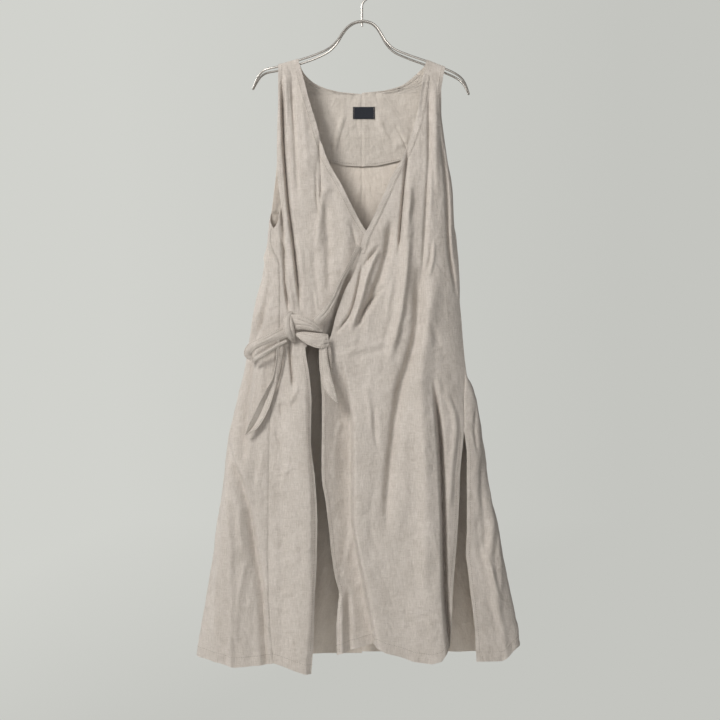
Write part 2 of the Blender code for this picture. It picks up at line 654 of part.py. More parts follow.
def thin_out(runs, smallest, keep_first, keep_run):
    """Drop rows that stand too close, apart from the first few, the underarm and the last."""
    kept = list(runs[:keep_first])
    for run in runs[keep_first:-1]:
        if abs(run - keep_run) < 1e-6:
            if run - kept[-1] < smallest / 2:
                kept.pop()
            kept.append(run)
        elif run - kept[-1] >= smallest and (run > keep_run or keep_run - run > smallest / 2):
            kept.append(run)
    kept.append(runs[-1])
    return np.array(kept)


def grid_normals(grid):
    down = np.gradient(grid, axis=0)
    along = np.gradient(grid, axis=1)
    normal = np.cross(down, along)
    size = np.linalg.norm(normal, axis=-1, keepdims=True).clip(1e-9)
    return normal / size


def lay_on(grid, distance):
    """The same points moved out of the surface."""
    return grid + grid_normals(grid) * distance


def material(name, colour, roughness, metallic):
    made = bpy.data.materials.new(name)
    made.use_nodes = True
    shader = made.node_tree.nodes["Principled BSDF"]
    shader.inputs["Base Color"].default_value = colour
    shader.inputs["Roughness"].default_value = roughness
    shader.inputs["Metallic"].default_value = metallic
    made.diffuse_color = colour
    return made


def add_object(name, points, faces, look):
    mesh = bpy.data.meshes.new(name)
    mesh.from_pydata([tuple(point * MM) for point in points], [], faces)
    mesh.update()
    for polygon in mesh.polygons:
        polygon.use_smooth = True
    made = bpy.data.objects.new(name, mesh)
    made.data.materials.append(look)
    bpy.context.scene.collection.objects.link(made)
    return made


def volume(points, faces):
    total = 0.0
    for a, b, c in faces:
        total += np.dot(points[a], np.cross(points[b], points[c]))
    return total / 6.0


def add_wall(name, grid, thickness, look, normals=None):
    """Close a grid of middle points into a wall of even thickness."""
    height, width = grid.shape[:2]
    if normals is None:
        normals = grid_normals(grid)
    count = height * width
    points = np.concatenate([
        (grid + normals * thickness / 2).reshape(-1, 3),
        (grid - normals * thickness / 2).reshape(-1, 3),
    ])
    faces = []
    for i in range(height - 1):
        for j in range(width - 1):
            a, b = i * width + j, i * width + j + 1
            c, d = (i + 1) * width + j + 1, (i + 1) * width + j
            faces += [(a, d, c), (a, c, b)]
            faces += [(a + count, c + count, d + count), (a + count, b + count, c + count)]
    rim = list(range(width))
    rim += [i * width + width - 1 for i in range(1, height)]
    rim += [(height - 1) * width + j for j in range(width - 2, -1, -1)]
    rim += [i * width for i in range(height - 2, 0, -1)]
    for index, here in enumerate(rim):
        there = rim[(index + 1) % len(rim)]
        faces += [(here, there, there + count), (here, there + count, here + count)]
    if volume(points, faces) < 0:
        faces = [(a, c, b) for a, b, c in faces]
    return add_object(name, points, faces, look)


def add_tube(name, path, radius, sides, closed, look):
    """Sweep a ring along a line; an open line gets flat ends."""
    path = np.asarray(path, float)
    count = len(path)
    if closed:
        ahead = np.roll(path, -1, axis=0) - np.roll(path, 1, axis=0)
    else:
        ahead = np.gradient(path, axis=0)
    ahead /= np.linalg.norm(ahead, axis=1, keepdims=True)
    side = np.array([0.0, 1.0, 0.0]) if abs(ahead[0][1]) < 0.9 else np.array([1.0, 0.0, 0.0])
    points = []
    for index in range(count):
        side = side - ahead[index] * np.dot(side, ahead[index])
        side /= np.linalg.norm(side)
        other = np.cross(ahead[index], side)
        for turn in np.arange(sides) * 2 * np.pi / sides:
            points.append(path[index] + radius * (side * np.cos(turn) + other * np.sin(turn)))
    shift = 0
    if closed:
        first = np.array(points[0]) - path[0]
        side = side - ahead[0] * np.dot(side, ahead[0])
        side /= np.linalg.norm(side)
        other = np.cross(ahead[0], side)
        angle = np.arctan2(np.dot(first, other), np.dot(first, side))
        shift = int(round(angle / (2 * np.pi / sides)))
    faces = []
    for index in range(count if closed else count - 1):
        last = closed and index == count - 1
        for k in range(sides):
            near = index * sides
            far = 0 if last else near + sides
            step = -shift if last else 0
            a, b = near + k, near + (k + 1) % sides
            c = far + (k + 1 + step) % sides
            d = far + (k + step) % sides
            faces += [(a, b, c), (a, c, d)]
    if not closed:
        tail = (count - 1) * sides
        for k in range(1, sides - 1):
            faces.append((0, k + 1, k))
            faces.append((tail, tail + k, tail + k + 1))
    points = np.array(points)
    if volume(points, faces) < 0:
        faces = [(a, c, b) for a, b, c in faces]
    return add_object(name, points, faces, look)


def strip_grid(strips, along, across):
    """Points of a strip of the tie: rows along its line, columns across its width."""
    track = steps_along(column(strips, "x"), column(strips, "y"), column(strips, "z"))
    at = np.linspace(0.0, track[-1], along)
    middle = np.stack([smooth(track, column(strips, name), at) for name in "xyz"], axis=-1)
    width = smooth(track, column(strips, "width"), at)
    turn = np.radians(smooth(track, column(strips, "turn"), at))
    bow = smooth(track, column(strips, "bow"), at)
    ahead = np.gradient(middle, axis=0)
    ahead /= np.linalg.norm(ahead, axis=1, keepdims=True)
    viewer = np.array([0.0, -1.0, 0.0])
    side = np.cross(ahead, viewer)
    side /= np.linalg.norm(side, axis=1, keepdims=True).clip(1e-9)
    face = np.cross(side, ahead)
    lines = []
    for share in np.linspace(-1.0, 1.0, across):
        reach = share * width / 2
        leaned = side * np.cos(turn)[:, None] + face * np.sin(turn)[:, None]
        raised = face * np.cos(turn)[:, None] - side * np.sin(turn)[:, None]
        lines.append(middle + leaned * reach[:, None] + raised * (bow * (1 - share ** 2))[:, None])
    return np.stack(lines, axis=1)


def on_grid(grid, row_at, column_at):
    """Points between the points of a grid, at fractional rows and columns."""
    row = np.clip(np.floor(row_at).astype(int), 0, grid.shape[0] - 2)
    col = np.clip(np.floor(column_at).astype(int), 0, grid.shape[1] - 2)
    down = (row_at - row)[..., None]
    over = (column_at - col)[..., None]
    upper = grid[row, col] * (1 - over) + grid[row, col + 1] * over
    lower = grid[row + 1, col] * (1 - over) + grid[row + 1, col + 1] * over
    return upper * (1 - down) + lower * down


def row_at_height(grid, column_index, height):
    """Fractional row in which a column of the grid passes a height."""
    heights = -grid[1:, column_index, 2]
    return 1 + np.interp(-height, heights, np.arange(len(heights)))


def run_at_height(rows, track, height):
    return np.interp(-np.asarray(height), -column(rows, "height")[1:], track[1:])


def front_wall_runs(front):
    track = front_track(front)
    widths = (column(front.sections, "left"), column(front.sections, "right"))
    runs = runs_for(track, widths, FRONT_ROW_STEP)
    keep_run = run_at_height(front.sections, track, UNDERARM)
    return thin_out(runs, NEAREST_ROWS, SHOULDER_ROWS, keep_run)


def shared_heights(front):
    """Heights of the front's rows along the side seam and below it."""
    heights = smooth(front_track(front), column(front.sections, "height"), front_wall_runs(front))
    return heights[heights <= UNDERARM + 0.01]


def back_wall_runs(half, front):
    """Own rows down to the underarm, then the rows of the front it is sewn to."""
    track = back_track(half)
    runs = runs_for(track, (column(half.sections, "neck"),), BACK_ROW_STEP)
    last = run_at_height(half.sections, track, UNDERARM) - 4
    own = [run for run in runs if run < last]
    return np.concatenate([own, run_at_height(half.sections, track, shared_heights(front))])


def match_seam(front, front_normals, front_column, back_normals):
    """Give both edges of a side seam the same lean, so that their walls end face to face."""
    heights = shared_heights(front)
    closed = heights > SLIT_TOP if front is OVER else heights < 0
    rows = np.arange(-len(heights), 0)[closed]
    mean = front_normals[rows, front_column] + back_normals[rows, -1]
    mean /= np.linalg.norm(mean, axis=-1, keepdims=True)
    front_normals[rows, front_column] = mean
    back_normals[rows, -1] = mean


def neck_band_grid(grid, edge, top, foot):
    """A narrow band along the neck edge, made from the panel's own points and moved out."""
    last = grid.shape[1] - 1
    end = 0 if edge == "left" else last
    first_row = row_at_height(grid, end, top)
    last_row = row_at_height(grid, end, foot)
    rows = np.arange(np.ceil(first_row), np.floor(last_row) + 1)
    rows = np.concatenate([[first_row], rows, [last_row]])
    raised = lay_on(grid, CLOTH_WALL / 2 + BAND_GAP + BAND_WALL / 2)
    lines = []
    for row in rows:
        ends = on_grid(grid, np.array([row, row]), np.array([0.0, last]))
        reach = NECK_BAND_WIDTH / np.linalg.norm(ends[1] - ends[0]) * last
        across = np.linspace(0.0, reach, 3) if end == 0 else np.linspace(last - reach, last, 3)
        lines.append(on_grid(raised, np.full(3, row), across))
    return np.stack(lines)


def build_front(name, front, columns, band_edge, band_ends, linen):
    """A front with its neck band; gives back the outward normals for the side seam."""
    grid = front_grid(front, front_wall_runs(front), np.linspace(0.0, 1.0, columns), SOFTEST_FOLD)
    normals = grid_normals(grid)
    band = neck_band_grid(grid, band_edge, *band_ends)
    add_wall(name + "_neck_band", band, BAND_WALL, linen)
    return grid, normals


def build_side(side, half, front, columns, band_edge, band_ends, linen, lining):
    """One front and the back half it is sewn to, with the band and facing that lie on them."""
    name = "front_" + ("under" if front is UNDER else "over")
    front_points, front_out = build_front(name, front, columns, band_edge, band_ends, linen)
    shares = np.linspace(0.0, 1.0, BACK_COLUMNS)
    back_points = back_grid(half, back_wall_runs(half, front), shares, SOFTEST_FOLD)
    back_out = -half.sign * grid_normals(back_points)
    match_seam(front, front_out, 0 if front is UNDER else -1, back_out)
    add_wall(name, front_points, CLOTH_WALL, linen, front_out)
    add_wall("back_" + side, back_points, CLOTH_WALL, linen, back_out)
    facing = facing_grid(half, back_points)
    add_wall("back_facing_" + side, facing, FACING_WALL, lining)


def facing_grid(half, grid):
    """Strip inside the back neck, made from the back's own points and moved in."""
    away = CLOTH_WALL / 2 + LAY_GAP + FACING_WALL / 2
    inside = lay_on(grid, away * half.sign)
    columns = int(FACING_SIDE_SHARE * (grid.shape[1] - 1)) + 1
    lines = [inside[row, :columns] for row in range(FACING_FIRST_ROW, grid.shape[0])
             if grid[row, 0, 2] > FACING_EDGE[-1].height + FACING_LEAST_ROW]
    shares = np.arange(columns) / (grid.shape[1] - 1)
    lower = np.interp(shares, column(FACING_EDGE, "share"), column(FACING_EDGE, "height"))
    rows = np.array([row_at_height(grid, j, lower[j]) for j in range(columns)])
    start = float(FACING_FIRST_ROW + len(lines) - 1)
    for share in (0.5, 1.0):
        lines.append(on_grid(inside, start + (rows - start) * share, np.arange(columns, dtype=float)))
    return np.stack(lines)


def patch_grid():
    """Flat patch in front of the facing at the middle of the neck."""
    x = np.linspace(PATCH_LEFT, PATCH_RIGHT, PATCH_COLUMNS)
    z = np.linspace(PATCH_TOP, PATCH_FOOT, PATCH_ROWS)
    grid_z, grid_x = np.meshgrid(z, x, indexing="ij")
    plain = BACK_LEFT_SECTIONS[BELOW_NECK:]
    back_y = np.interp(-grid_z, -column(plain, "height"), column(plain, "back_y"))
    inner = CLOTH_WALL / 2 + LAY_GAP + FACING_WALL + LAY_GAP + PATCH_WALL / 2
    return np.stack([grid_x, back_y - inner, grid_z], axis=-1)


def build_tie(linen):
    for piece in TIE_PIECES:
        add_wall(piece.name, strip_grid(piece.strips, piece.rows, piece.columns), TIE_WALL, linen)


def hanger_path():
    """Closed line of the hanger: along the front wire and back along the rear one."""
    x, height, half = (column(HANGER_WIRE, name) for name in ("x", "height", "half_gap"))
    track = steps_along(x, height)
    at = runs_for(track, (), WIRE_STEP)
    x, height, half = (smooth(track, values, at) for values in (x, height, half))
    front = np.stack([x, -half, height], axis=-1)
    rear = np.stack([x, half, height], axis=-1)[::-1]
    right_tip = tip_turn(front[-2], front[-1])
    left_tip = tip_turn(front[1], front[0])[::-1]
    return np.concatenate([front, right_tip, rear, left_tip])


def tip_turn(before, end):
    """Half circle from the front wire round to the rear one, beyond the hanger's tip."""
    ahead = np.array([end[0] - before[0], 0.0, end[2] - before[2]])
    ahead /= np.linalg.norm(ahead)
    radius = -end[1]
    turns = np.radians([30, 60, 90, 120, 150])
    centre = np.array([end[0], 0.0, end[2]])
    return np.array([centre + radius * (ahead * np.sin(t) - np.array([0, np.cos(t), 0]))
                     for t in turns])


def hook_path():
    """Stem, the bend out of it and most of a circle over the rod."""
    stem = [(0.0, STEM_FOOT), (0.0, -60.0), (0.0, -47.0), (1.2, -41.5), (5.0, -37.0)]
    turns = np.radians(np.linspace(-52, 208, 16))
    ring = [(HOOK_RADIUS * np.cos(t), HOOK_CENTRE + HOOK_RADIUS * np.sin(t)) for t in turns]
    return [(x, 0.0, z) for x, z in stem + ring]


def build_hanger(steel):
    add_tube("hanger_body", hanger_path(), WIRE_RADIUS, WIRE_SIDES, True, steel)
    add_tube("hanger_hook", hook_path(), WIRE_RADIUS, WIRE_SIDES, False, steel)


def main():
    for old in list(bpy.data.objects):
        bpy.data.objects.remove(old, do_unlink=True)
    linen = material("washed_linen", LINEN, 0.9, 0.0)
    lining = material("linen_facing", LINEN_SHADE, 0.92, 0.0)
    dark = material("dark_patch", PATCH_DARK, 0.8, 0.0)
    steel = material("steel_wire", STEEL, 0.3, 1.0)
    build_hanger(steel)
    build_side("left", BACK_LEFT, UNDER, UNDER_COLUMNS, "right", UNDER_BAND_ENDS, linen, lining)
    build_side("right", BACK_RIGHT, OVER, OVER_COLUMNS, "left", OVER_BAND_ENDS, linen, lining)
    add_wall("neck_patch", patch_grid(), PATCH_WALL, dark)
    build_tie(linen)


main()
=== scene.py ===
"""Wrap dress of washed linen, tied in a bow at the hip, on a double wire hanger.

Lengths in the tables are millimetres; sizes in the property groups and all meshes are metres.
Z is up, the front of the dress faces -Y and the viewer's right is +X.  The origin is the inside
top of the hanger's hook.
"""
import math
from collections import namedtuple

import bpy
import numpy as np
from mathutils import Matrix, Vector


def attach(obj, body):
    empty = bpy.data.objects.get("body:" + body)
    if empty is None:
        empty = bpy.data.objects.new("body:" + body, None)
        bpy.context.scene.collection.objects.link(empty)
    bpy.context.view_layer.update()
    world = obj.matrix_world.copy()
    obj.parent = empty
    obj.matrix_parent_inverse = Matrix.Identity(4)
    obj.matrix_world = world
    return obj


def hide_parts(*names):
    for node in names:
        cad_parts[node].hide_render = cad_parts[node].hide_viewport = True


bl_info = {
    "name": "Linen wrap dress",
    "version": (1, 0, 0),
    "blender": (4, 5, 0),
    "location": "3D View > Sidebar > Dress",
    "description": "Dresses a fixed frame as a linen wrap dress on a wire hanger",
    "category": "Mesh",
}

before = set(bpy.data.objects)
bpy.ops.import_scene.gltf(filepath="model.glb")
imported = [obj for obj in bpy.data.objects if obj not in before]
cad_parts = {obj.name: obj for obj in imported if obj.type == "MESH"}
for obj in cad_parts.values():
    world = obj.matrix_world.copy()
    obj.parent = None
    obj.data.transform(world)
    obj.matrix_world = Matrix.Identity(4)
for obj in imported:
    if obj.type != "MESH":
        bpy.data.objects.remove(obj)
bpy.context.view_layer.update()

MM = 0.001
BODY = "root"

# Cloth, gaps and seams
SEAM_TUCK = 5.0         # a back half runs on this far behind the front it is sewn to
LEAST_TUCK = 0.01       # and where its edge is free only this far
TUCK_START = 4.0        # from here before the seam it starts to step back
TUCK_REACH = 5.0
TUCK_DEPTH = 2.4
SEAM_QUIET = 12.0       # beside a seam the folds die out over this width
MIDDLE_QUIET = 14.0     # and beside the middle seam of the back over this one
MIDDLE_SEAM_OUT = 0.8   # the middle seam of the back stands out this far
MIDDLE_SEAM_REACH = 4.0
LAYER_STEP = 4.5        # from the middle of the under front to the middle of the over front
STEP_SLOPE = 1.2        # beyond the under front's edge the over front may fall back this steeply
NO_LIMIT = 99.0
LEAST_STEP = 0.5        # shortest step along a line of a table
SHOULDER_PLAIN = 24.0   # the cloth on the wire is plain this far down, then crumpled
SHOULDER_EASE = 30.0
BAND_LIFT = 0.25        # between a neck band and its panel
BAND_WALL = 0.9
BAND_COLUMNS = 9
NECK_BAND_WIDTH = 12.0
FACING_WALL = 0.8
FACING_LIFT = 0.5
FACING_TOP = -172.0
FACING_ROWS = 9         # rows between the last whole row of the back and the lower edge
FACING_DROOP = 3.0      # how much further the lower edge of the facing stands off the back
DROOP_TOP = -250.0
DROOP_REACH = 90.0
ALLOWANCE_WIDTH = 9.0   # pressed seam allowance beside the middle seam of the facing
ALLOWANCE_RISE = 0.9
EDGE_SOFT = 1.5         # a turned edge and a pressed allowance end over this width
HEM_SOFT = 2.0
TIE_WALL = 1.0
TIE_ROWS = 72
TIE_COLUMNS = 23
TIE_GRAIN = 1.6         # the tie's crumple is this much finer, and this share as high
TIE_CRUMPLE = 0.35
TIE_SEED = 50
LEAST_CUT = 0.0105      # narrowest cut a piece of cloth is given, in metres
LEAST_AREA = 0.3        # and its least share of width times length
CLOTH_MAP = "cloth"
RIM_ANGLE = 60.0        # an edge turned more than this is a rim

# Roundness of a back half's section: across the back and round the side
BACK_WIDTH = 470.0      # widest a back half is, along the cloth
BACK_ROUNDNESS = 3.4
SIDE_ROUNDNESS = 2.3
ARMHOLE_ROUNDNESS = 4
BACK_POINTS = 90
SIDE_POINTS = 60
TURN_REACH = 1.5        # the direction of the cloth is read over this far each way

# Heights that part one region from the next
ARMHOLE_TOP = -166.0
BACK_NECK = -207.0      # above this height the back's inner edge is the neck edge
UNDERARM = -478.0
ARMHOLE_FREE = 8.0      # folds reach the edge of the armhole from this far above the underarm
ARMHOLE_TURN = 6.0      # and the turned edge starts this far above it
SLIT_TOP = -850.0
SLIT_EASE = 12.0
HEM_START = -1000.0
HEM_END = -1290.0
OVERLAP_TOP = -330.0
OVERLAP_FOOT = -700.0
CORNER_LINE = -154.0    # the under front's corner below the armhole reaches out beyond this X
CORNER_TOP = -425.0
CORNER_FOOT = -570.0
CORNER_REACH = 26.0     # columns further in than this run straight past the corner

# Stitches
STITCH_LIFT = 0.12
STITCH_FOOT = -1266.0   # stitched edges end here, in the hem
STITCH_SEED = 5
SEAM_STITCH = 3.0       # beside the middle seam of the back
SEAM_STITCH_TOP = -212.0
BAND_STITCH = 0.14      # share of the width, from the band's inner edge
TIE_STITCH = 0.1        # from either edge of the tie
PATCH_STITCH = 0.05
FACING_STITCH_ROW = 0.97
FACING_SEAM_SHARE = 0.02
DART_POINTS = 60

# Hanger
WIRE_STEP = 6.0
WIRE_SIDES = 20
HOOK_RADIUS = 19.0
HOOK_CENTRE = -17.0
HOOK_TURN = (-52, 208)  # degrees
HOOK_POINTS = 53
STEM = ((0.0, -86.0), (0.0, -60.0), (0.0, -47.0), (1.2, -41.5), (5.0, -37.0))
TIP_STEP = 15           # degrees


def table(kind, *rows):
    """Rows of numbers under the column names of their kind."""
    return tuple(kind(*row) for row in rows)


# A front panel: one row for each section, from the shoulder seam down.  left_y, mid_y and right_y
# are the depths of the cloth at the left edge, in the middle and at the right edge; rise is the
# right end's height above the left end.
Section = namedtuple("Section", "height left right left_y mid_y right_y rise", defaults=(0,))

UNDER_SECTIONS = table(
    Section,
    (-156.3, -158, -121, 0, 0, 0, 11), (-156.3, -158, -121, -17, -17, -17, 11),
    (-156.9, -158, -120, -21.6, -21.6, -21.6, 11), (-159.4, -158, -120, -24, -24, -24, 11),
    (-166, -158, -118, -24.7, -24.7, -24.7, 10), (-202, -158, -107, -25, -27, -26, 1),
    (-230, -158, -100, -26, -30, -28), (-269, -159, -88, -27, -34, -31),
    (-322, -160, -73, -28, -38, -34), (-354, -160, -60, -28, -40, -36),
    (-386, -158, -41, -28, -41, -36), (-425, -154, -22, -29, -41, -36),
    (-459, -158, -4, -30, -41, -35), (-472, -166, 4, -30, -41, -34),
    (-478, -172, 8, -30, -41, -34), (-495, -172, 17, -30, -41, -34),
    (-517, -165, 22, -31, -41, -34), (-536, -156, 8, -32, -42, -34),
    (-570, -154, -6, -34, -42, -35), (-607, -154, -24, -36, -43, -37),
    (-645, -154, -37, -38, -44, -39), (-669, -155, -58, -39, -44, -41),
    (-684, -157, -86, -40, -44, -43), (-696, -159, -106, -40, -45, -44),
    (-748, -164, -99, -42, -49, -47), (-795, -170, -95, -43, -51, -48),
    (-870, -173, -96, -44, -54, -50), (-944, -174, -88, -45, -56, -52),
    (-1019, -175, -84, -46, -58, -54), (-1093, -175, -85, -47, -59, -55),
    (-1168, -174, -89, -48, -60, -56), (-1242, -170, -91, -49, -61, -57),
    (-1298, -165, -95, -50, -61, -58),
)

OVER_SECTIONS = table(
    Section,
    (-159.4, 123, 157, 0, 0, 0, -14), (-159.4, 123, 157, -17, -17, -17, -14),
    (-160, 122, 157, -21.6, -21.6, -21.6, -14), (-162.5, 121, 157, -24, -24, -24, -14),
    (-169, 119, 155, -24.7, -24.7, -24.7, -12), (-189, 115, 152, -25, -26, -24, -6),
    (-211, 111, 149, -26, -28, -24), (-250, 106, 149, -30, -32, -22),
    (-288, 96, 153, -34, -36, -20), (-316, 86, 157, -37, -39, -19), (-349, 71, 162, -40, -42, -18),
    (-379, 54, 168, -41, -44, -17), (-405, 43, 171, -42, -45, -16), (-429, 32, 172, -43, -45, -15),
    (-467, 14, 174, -43, -46, -14), (-478, 8, 175.5, -43, -46, -14), (-491, 2, 177, -43, -46, -13),
    (-514, -4, 180, -43, -46, -12), (-536, -8, 182, -43, -47, -12),
    (-561, -17, 184, -43, -47, -12), (-589, -32, 184, -44, -48, -12),
    (-613, -41, 185, -45, -49, -12), (-645, -51, 188, -46, -50, -12),
    (-673, -58, 190, -46, -50, -12), (-696, -69, 192, -44, -50, -13),
    (-724, -78, 194, -42, -51, -14), (-748, -78, 194, -40, -52, -16),
    (-795, -75, 191, -38, -54, -24), (-850, -75, 191, -37, -56, -34),
    (-907, -76, 186, -36, -57, -38), (-944, -75, 183, -36, -58, -40),
    (-981, -69, 182, -36, -59, -41), (-1037, -62, 179, -36, -60, -42),
    (-1093, -56, 175, -37, -61, -43), (-1130, -50, 172, -38, -62, -44),
    (-1162, -43, 170, -40, -62, -44), (-1190, -46, 169, -41, -63, -45),
    (-1224, -48, 168, -42, -63, -45), (-1275, -47, 166, -42, -64, -46),
)

# A back half: neck is the X of the edge nearest the middle, side the X of the outermost point,
# mid_y and side_y their depths, wrap how much of the turn to the front the cloth makes and rise
# the middle's height above the side.
Back = namedtuple("Back", "height neck side mid_y side_y wrap rise", defaults=(0,))

BACK_LEFT_SECTIONS = table(
    Back,
    (-156.3, -121, -158, 0, 0, 0, 11), (-156.3, -121, -158, 17, 17, 0, 11),
    (-156.9, -120, -158, 21.6, 21.6, 0, 11), (-159.4, -119, -158, 24, 24, 0, 11),
    (-168, -115, -158, 24.8, 24.6, 0, 8), (-184, -100, -158, 25, 23, 0, 2),
    (-195.5, -80, -158, 26, 22, 0), (-203.5, -55, -158, 26, 22, 0), (-207.5, -29, -158, 27, 21, 0),
    (-208.8, 0, -158, 27, 21, 0), (-245, 0, -158, 28, 18, 0), (-322, 0, -161, 29, 14, 0),
    (-375, 0, -165, 30, 11, 0), (-417, 0, -170, 31, 8, 0), (-440, 0, -173, 31, 6, 0),
    (-458, 0, -175.5, 31, 3, 0.22), (-470, 0, -177, 31, 0, 0.68), (-478, 0, -178, 31, -4, 1),
    (-492, 0, -179, 31, -5, 1), (-534, 0, -184, 32, -5, 1), (-568, 0, -190, 32, -4, 1),
    (-606, 0, -201, 33, -4, 1), (-644, 0, -209, 33, -3, 1), (-682, 0, -215, 34, -3, 1),
    (-720, 0, -220, 34, -3, 1), (-796, 0, -236, 36, -2, 1), (-872, 0, -254, 37, -2, 1),
    (-948, 0, -262, 39, -2, 1), (-1024, 0, -274, 40, -1, 1), (-1100, 0, -285, 42, 0, 1),
    (-1176, 0, -296, 43, 0, 1), (-1252, 0, -306, 44, 0, 1), (-1298, 0, -311, 44, 0, 1),
)

BACK_RIGHT_SECTIONS = table(
    Back,
    (-159.4, 123, 157, 0, 0, 0, 14), (-159.4, 123, 157, 17, 17, 0, 14),
    (-160, 122, 157, 21.6, 21.6, 0, 14), (-162.5, 121, 156, 24, 24, 0, 14),
    (-169, 113, 153, 24.8, 24.6, 0, 10), (-184, 92, 149, 25, 22, 0, 2),
    (-195.5, 73, 147, 26, 21, 0), (-203.5, 42, 146, 26, 20, 0), (-207.5, 18, 146, 27, 20, 0),
    (-208.8, 0, 146, 27, 20, 0), (-245, 0, 147, 28, 17, 0), (-322, 0, 156, 29, 13, 0),
    (-375, 0, 165, 30, 10, 0), (-417, 0, 169, 31, 8, 0), (-455, 0, 172, 31, 5, 0),
    (-470, 0, 174, 31, 2, 0.35), (-478, 0, 176, 31, -1, 1), (-514, 0, 180, 31, -2, 1),
    (-568, 0, 184, 32, -2, 1), (-613, 0, 185, 33, -2, 1), (-645, 0, 188.2, 33, -2, 1),
    (-682, 0, 190.5, 34, -2, 1), (-724, 0, 195, 34, -3, 1), (-748, 0, 198, 35, -3, 1),
    (-766, 0, 208, 35, -3, 1), (-790, 0, 216, 36, -3, 1), (-834, 0, 224, 36, -2, 1),
    (-948, 0, 237, 38, -2, 1), (-1024, 0, 256, 40, -1, 1), (-1100, 0, 268, 42, 0, 1),
    (-1176, 0, 281, 43, 0, 1), (-1252, 0, 296, 44, 0, 1), (-1286, 0, 300, 44, 0, 1),
)

# Free edge of the back beside the slit
Edge = namedtuple("Edge", "height x y")
SLIT_EDGE = table(
    Edge,
    (-862, 193, -34), (-890, 197, -34), (-1039, 197, -35), (-1086, 195, -35), (-1114, 199, -36),
    (-1152, 203, -36), (-1189, 208, -37), (-1227, 212, -37), (-1290, 215, -38),
)

# A fold: heights of its two ends, where its line runs (equal steps from top to foot), its half
# width on either side of the line and how far it stands out (a groove is below nought).
# On the fronts the line is an X; on the backs it is a distance from the side seam.
Fold = namedtuple("Fold", "top foot line width_before width_after out")
FOLD_FADE = 0.18        # share of its length over which a fold comes and goes
HEM_FOLD_FOOT = -1200.0  # a fold that ends below this height runs out over the hem
HEM_FOLD_REACH = 1.2

UNDER_FOLDS = table(
    Fold,
    (-172, -640, (-152, -149, -141, -127, -114), 2.6, 4.5, -19),
    (-415, -640, (-154, -149, -146, -136), 2.4, 4, -12),
    (-170, -430, (-130, -129, -124, -120), 4, 5, -4), (-178, -280, (-144, -143, -141), 4, 4, 3),
    (-200, -385, (-114, -108, -100), 5, 6, 2), (-300, -462, (-84, -79, -78, -84), 1.6, 2.6, -5),
    (-380, -512, (-62, -78, -82, -86), 1.8, 9, 6), (-410, -600, (-70, -64, -62), 7, 8, -6),
    (-400, -590, (-42, -30, -24), 12, 10, 4), (-505, -640, (-90, -88, -86), 8, 8, -4),
    (-545, -700, (-16, -34, -50, -68), 7, 9, -17),
    (-676, -775, (-137, -135, -132, -129), 2.4, 4, -9),
    (-700, -1290, (-110, -106, -98, -97, -106), 32, 8, 9),
    (-760, -1290, (-150, -152, -150, -150), 10, 12, -3),
)

OVER_FOLDS = table(
    Fold,
    (-182, -600, (127, 126, 119, 111), 4, 5, -6), (-285, -612, (146, 158, 163, 181), 3, 4, -8),
    (-190, -420, (139, 139, 141), 5, 5, 3), (-395, -545, (167, 168, 172), 4, 4, 3),
    (-312, -525, (87, 77, 68), 3, 3, -11), (-365, -735, (90, 87, 76, 48), 9, 6, 11),
    (-510, -1065, (106, 103, 70, 52, 42), 9, 11, -15),
    (-515, -1185, (143, 125, 110, 118, 118, 116), 13, 14, 9),
    (-500, -672, (36, 12, -4, -24), 5, 5, 9), (-450, -650, (54, 50, 38, 20, -8), 7, 8, -12),
    (-538, -674, (1, -8, -20, -52), 3, 3, -8), (-578, -662, (46, 8, -10), 4, 4, -7),
    (-742, -1280, (132, 147, 152, 155, 165), 3.6, 4.6, -24),
    (-770, -1285, (126, 138, 143, 146, 156), 38, 5, 13),
    (-758, -1010, (152, 176, 168, 163), 6, 5, 5),
    (-715, -1280, (-40, -22, -22, -2, 23), 30, 4, -25),
    (-735, -1288, (-82, -78, -78, -62, -50), 10, 18, 12),
    (-765, -1285, (-12, -10, -8, 14, 38), 7, 24, 7), (-1160, -1278, (-38, -38, -37), 5, 5, 7),
    (-1155, -1278, (-27, -24, -22), 5, 5, -7),
)

BACK_LEFT_FOLDS = table(
    Fold,
    (-858, -1292, (92, 48, 26, 12, 14), 6, 9, -13), (-955, -1292, (74, 67, 78), 5, 5, 6),
    (-1090, -1225, (40, 54, 64), 4, 4, 4), (-645, -940, (56, 52, 50), 9, 10, -11),
    (-700, -1290, (28, 30, 30, 40), 12, 10, -4), (-585, -685, (14, 32, 54), 4, 4, -4),
    (-850, -1292, (66, 74, 84, 96, 104), 40, 14, 12),
    (-560, -1292, (150, 160, 176, 190), 22, 26, 8),
    (-620, -1292, (205, 222, 246, 262), 20, 24, -9),
    (-540, -1292, (250, 275, 306, 330), 20, 22, 9),
    (-700, -1292, (300, 330, 368, 392), 18, 22, -8), (-230, -520, (60, 66, 84), 10, 12, 5),
)

BACK_RIGHT_FOLDS = table(
    Fold,
    (-1075, -1175, (36, 52), 4, 4, 4), (-900, -1085, (36, 32, 38), 8, 8, -5),
    (-990, -1290, (52, 44, 58), 7, 8, 5), (-590, -1290, (90, 128, 160, 172), 20, 24, 8),
    (-650, -1290, (130, 176, 214, 236), 18, 24, -8),
    (-560, -1290, (160, 214, 262, 290), 20, 20, 9),
    (-720, -1290, (190, 262, 306, 340), 18, 20, -7), (-240, -510, (56, 60, 76), 10, 12, 5),
)

